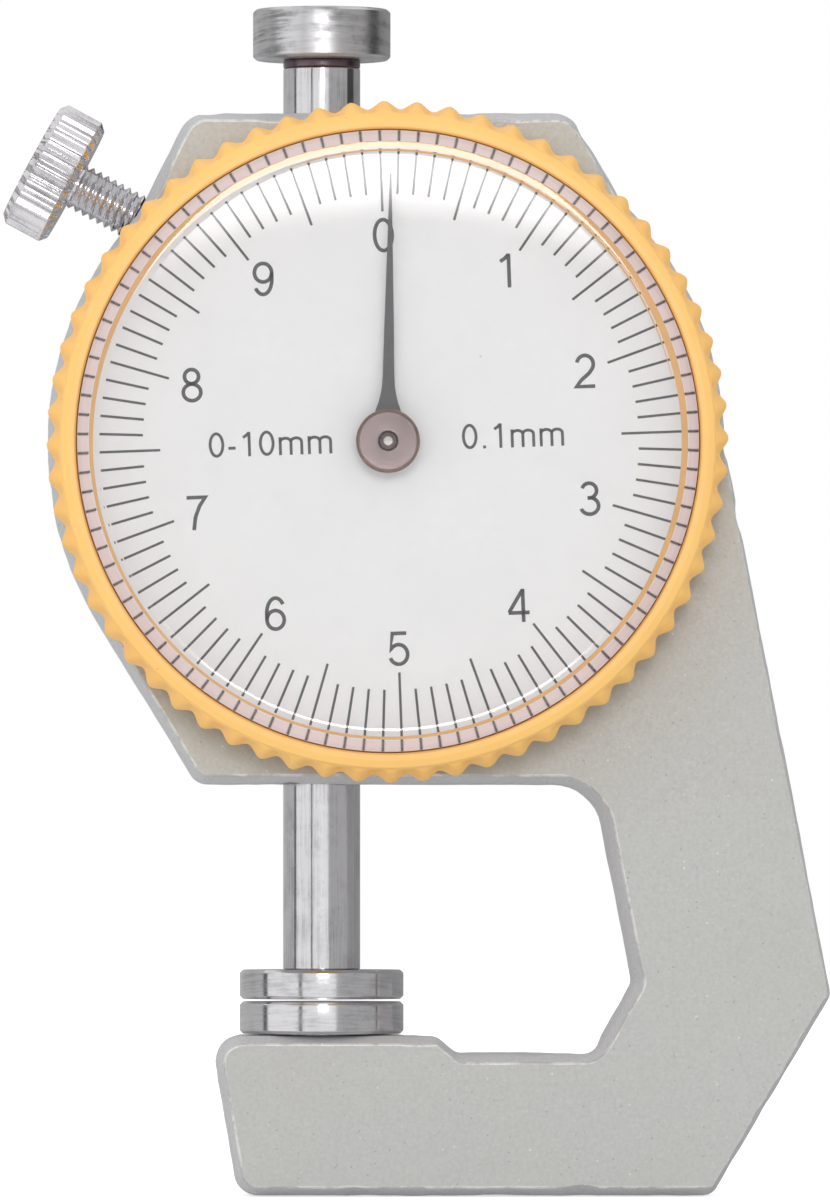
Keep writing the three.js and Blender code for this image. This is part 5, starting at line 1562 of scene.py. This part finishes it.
class GAUGE_OT_lock(Operator):
    """Build the knurled lock screw with its thread"""

    bl_idname = "gauge.lock"
    bl_label = "Lock screw"

    def execute(self, context):
        size = context.scene.gauge_lock
        steel = steel_finish("knurled_steel", size.steel_colour, 0.14, ON_LOCK, 5000.0, 0.3)
        back, wide, hole = -LOCK_HEAD_LENGTH, LOCK_HEAD_RADIUS, LOCK_NECK_RADIUS + PLAY
        inset, drop, soft, softer = 0.42 * MM, 0.38 * MM, 0.12 * MM, 0.15 * MM
        head = turned([
            (0, back), (LOCK_CROWN_RADIUS, back, 0.1 * MM), (wide - inset, back, soft),
            (wide, back + drop, softer), (wide, -drop, softer), (wide - inset, 0, soft),
            (hole, 0), (hole, -LOCK_RECESS), (0, -LOCK_RECESS),
        ], size.ridges * RIDGE_SIDES, steps=4)
        values = {
            "Ridges": size.ridges, "Turns per Metre": 0.0, "Depth": size.ridge_depth,
            "From": back - MM, "To": MM, "Fade": 0.1 * MM, "Beyond": wide - 0.5 * MM,
            "Growth": 0.2 * MM, "Roundness": 1.0, "Material": steel,
        }
        head = moved(grown(head, ridge_tree(), values), ON_LOCK)
        put("lock_knob", head, [steel], "lock_screw", ["lock_screw_head"])
        neck, end = LOCK_NECK, LOCK_STUD_END
        steps = round((end - neck) / (size.pitch / 10))
        profile = [(0, -LOCK_TENON), (LOCK_NECK_RADIUS, -LOCK_TENON), (LOCK_NECK_RADIUS, neck)]
        for k in range(steps + 1):
            profile.append((LOCK_THREAD_RADIUS, neck + (end - neck) * k / steps))
        profile.append((0, end))
        values.update({
            "Ridges": -1, "Turns per Metre": 1 / size.pitch, "Depth": size.thread_depth,
            "From": neck - 0.2 * MM, "To": end + 0.2 * MM, "Fade": 0.3 * MM,
            "Beyond": LOCK_NECK_RADIUS - 0.05 * MM, "Growth": 0.1 * MM, "Roundness": 0.1,
        })
        stud = moved(grown(lathe(profile, BORE_SIDES), ridge_tree(), values), ON_LOCK)
        put("lock_thread", stud, [steel], "lock_screw", ["lock_screw_stud"])
        repaint(movement_brass(context.scene.gauge_steel), "lock_pad")
        return {"FINISHED"}


class GAUGE_OT_movement(Operator):
    """Finish the parts of the movement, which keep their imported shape"""

    bl_idname = "gauge.movement"
    bl_label = "Movement"

    def execute(self, context):
        size = context.scene.gauge_steel
        brass = movement_brass(size)
        steel = worked_metal("pin_steel", size.steel_colour, 0.3)
        repaint(brass, "guide_plate", "movement_bridge", "bridge_pillar_1", "bridge_pillar_2")
        repaint(brass, "front_bearing", "hairspring_stud", "hairspring_collet")
        repaint(spring_wire(), "return_spring", "hairspring")
        repaint(steel, "spring_post", "guide_pin", "bridge_screw_1", "bridge_screw_2")
        return {"FINISHED"}


# Floor, lamps and camera

def softbox(name, centre, width, height, radiance):
    """A rectangular lamp that looks at the dial, by the brightness of its face."""
    data = bpy.data.lights.new(name, "AREA")
    data.shape = "RECTANGLE"
    data.size, data.size_y = width, height
    data.energy = radiance * math.pi * width * height
    lamp = bpy.data.objects.new(name, data)
    centre, target = Vector(centre), Vector((DIAL_X, 0, DIAL_Z))
    turn = (target - centre).to_track_quat("-Z", "Y").to_matrix().to_4x4()
    lamp.matrix_world = Matrix.Translation(centre) @ turn
    lamp.visible_camera = False
    lamp.visible_glossy = False
    lamp.visible_transmission = False
    bpy.context.scene.collection.objects.link(lamp)


@painted
def card_finish(w, level):
    """The glow of a card, which is as bright as the room to light on its way to the dial."""
    path = w.node("ShaderNodeLightPath").outputs
    onward = w.math("MINIMUM", path["Diffuse Depth"], 1.0)
    return w.glow(w.ramp(onward, 0.0, 1.0, level(w), 1.0, smooth=False))


def card(name, start, end, radius, strength):
    """A curved card round the object that only metal and glass see, from one bearing to another.
    Bearings are in degrees from the camera's side, positive to the right."""
    bm = bmesh.new()
    count = max(2, round(abs(end - start) / CARD_STEP))
    columns = []
    for k in range(count + 1):
        angle = math.radians(start + (end - start) * k / count)
        x, y = radius * math.sin(angle), -radius * math.cos(angle)
        columns.append([bm.verts.new((x, y, z)) for z in (-radius, radius)])
    for here, after in zip(columns, columns[1:]):
        bm.faces.new([here[0], after[0], after[1], here[1]])
    hang(name, bm, card_finish(name, lambda w: strength))


def hang(name, bm, material):
    """Hangs a card where only metal and glass see it."""
    wall = loose_object(bm, [material])
    wall.name = name
    wall.visible_camera = False
    wall.visible_diffuse = False
    wall.visible_transmission = False
    wall.visible_shadow = False


def arched_card(name, strength):
    """The face of the upper softbox, where the crystal mirrors it, with an edge that arches."""
    away, eye_away = ARCH_AWAY, EYE_TO_CRYSTAL
    spread = 1 + away * (1 / eye_away + 4 * CRYSTAL_SAG / CRYSTAL_FLAT ** 2)
    middle_x = DIAL_X + away * (DIAL_X - EYE.x) / eye_away
    middle_z = DIAL_Z + away * (DIAL_Z - EYE.z) / eye_away

    def level(w):
        x, _, z = w.parts(w.where())
        across = (x - middle_x) / (spread * MM)
        up = (z - middle_z) / (spread * MM)
        square = across * across
        above = up - ARCH_TOP + (square * ARCH_STEEPER + ARCH_FALL) * square
        return w.ramp(above, *ARCH_SOFT, 1.0, strength)

    low, high = middle_z + ARCH_LOW * spread, middle_z + ARCH_HIGH * spread
    wide = ARCH_WIDE * spread
    bm = bmesh.new()
    corners = [(-wide, low), (wide, low), (wide, high), (-wide, high)]
    bm.faces.new([bm.verts.new((middle_x + x, -away, z)) for x, z in corners])
    hang(name, bm, card_finish(name, level))


@painted
def floor_finish(w):
    """Pale floor: white to the camera, metal and glass where nothing shades it."""
    matt = w.node("ShaderNodeBsdfDiffuse", {"Color": FLOOR_COLOUR})
    glow = w.glow(w.seen() * FLOOR_GLOW)
    return w.node("ShaderNodeAddShader", {0: matt, 1: glow})


def light_the_room(strength):
    world = bpy.data.worlds.new("studio")
    bpy.context.scene.world = world
    world.use_nodes = True
    w = Wiring(world.node_tree)
    level = w.ramp(w.seen(), 0.0, 1.0, strength, 1.0, smooth=False)
    room = w.node("ShaderNodeBackground", {"Color": (1, 1, 1), "Strength": level})
    w.node("ShaderNodeOutputWorld", {"Surface": room})


class GAUGE_OT_stage(Operator):
    """Set up the floor, the lamps and the camera"""

    bl_idname = "gauge.stage"
    bl_label = "Stage"

    def execute(self, context):
        size = context.scene.gauge_stage
        scene = context.scene
        light_the_room(size.world)
        bm = bmesh.new()
        bmesh.ops.create_grid(bm, x_segments=4, y_segments=4, size=1.5)
        bm.transform(Matrix.Translation((0, 0.3, -0.02 * MM)))
        floor = loose_object(bm, [floor_finish("floor")])
        floor.name = "floor"
        floor.visible_glossy = False
        softbox("key", *SOFTBOXES["key"], size.key)
        arched_card("card_key", size.gleam)
        softbox("left", *SOFTBOXES["left"], size.side)
        for name, start, end, radius, strength in CARDS:
            card(name, start, end, radius, strength)
        data = bpy.data.cameras.new("camera")
        data.lens = LENS
        data.sensor_width = 36
        data.clip_start, data.clip_end = 0.05, 20
        camera = bpy.data.objects.new("camera", data)
        camera.location = EYE
        camera.rotation_euler = (AIM - EYE).to_track_quat("-Z", "Y").to_euler()
        scene.collection.objects.link(camera)
        scene.camera = camera
        scene.view_settings.view_transform = "Standard"
        return {"FINISHED"}


class GAUGE_PT_build(Panel):
    """The steps that build the gauge"""

    bl_label = "Gauge"
    bl_idname = "GAUGE_PT_build"
    bl_space_type = "VIEW_3D"
    bl_region_type = "UI"
    bl_category = "Gauge"

    def draw(self, context):
        for step in STEPS:
            self.layout.operator(step.bl_idname)


GROUPS = {
    "gauge_casting": GaugeCasting, "gauge_steel": GaugeSteel, "gauge_bezel": GaugeBezel,
    "gauge_crystal": GaugeCrystal, "gauge_dial": GaugeDial, "gauge_pointer": GaugePointer,
    "gauge_lock": GaugeLock, "gauge_stage": GaugeStage,
}
STEPS = [
    GAUGE_OT_casting, GAUGE_OT_anvil, GAUGE_OT_plunger, GAUGE_OT_cover, GAUGE_OT_bezel,
    GAUGE_OT_crystal, GAUGE_OT_dial, GAUGE_OT_pointer, GAUGE_OT_lock, GAUGE_OT_movement,
    GAUGE_OT_stage,
]


def register():
    for kind in (*GROUPS.values(), *STEPS, GAUGE_PT_build):
        bpy.utils.register_class(kind)
    for name, group in GROUPS.items():
        setattr(bpy.types.Scene, name, PointerProperty(type=group))


def unregister():
    for name in GROUPS:
        delattr(bpy.types.Scene, name)
    for kind in reversed((*GROUPS.values(), *STEPS, GAUGE_PT_build)):
        bpy.utils.unregister_class(kind)


def main():
    register()
    for step in STEPS:
        group, name = step.bl_idname.split(".")
        getattr(getattr(bpy.ops, group), name)()


if __name__ == "__main__":
    main()
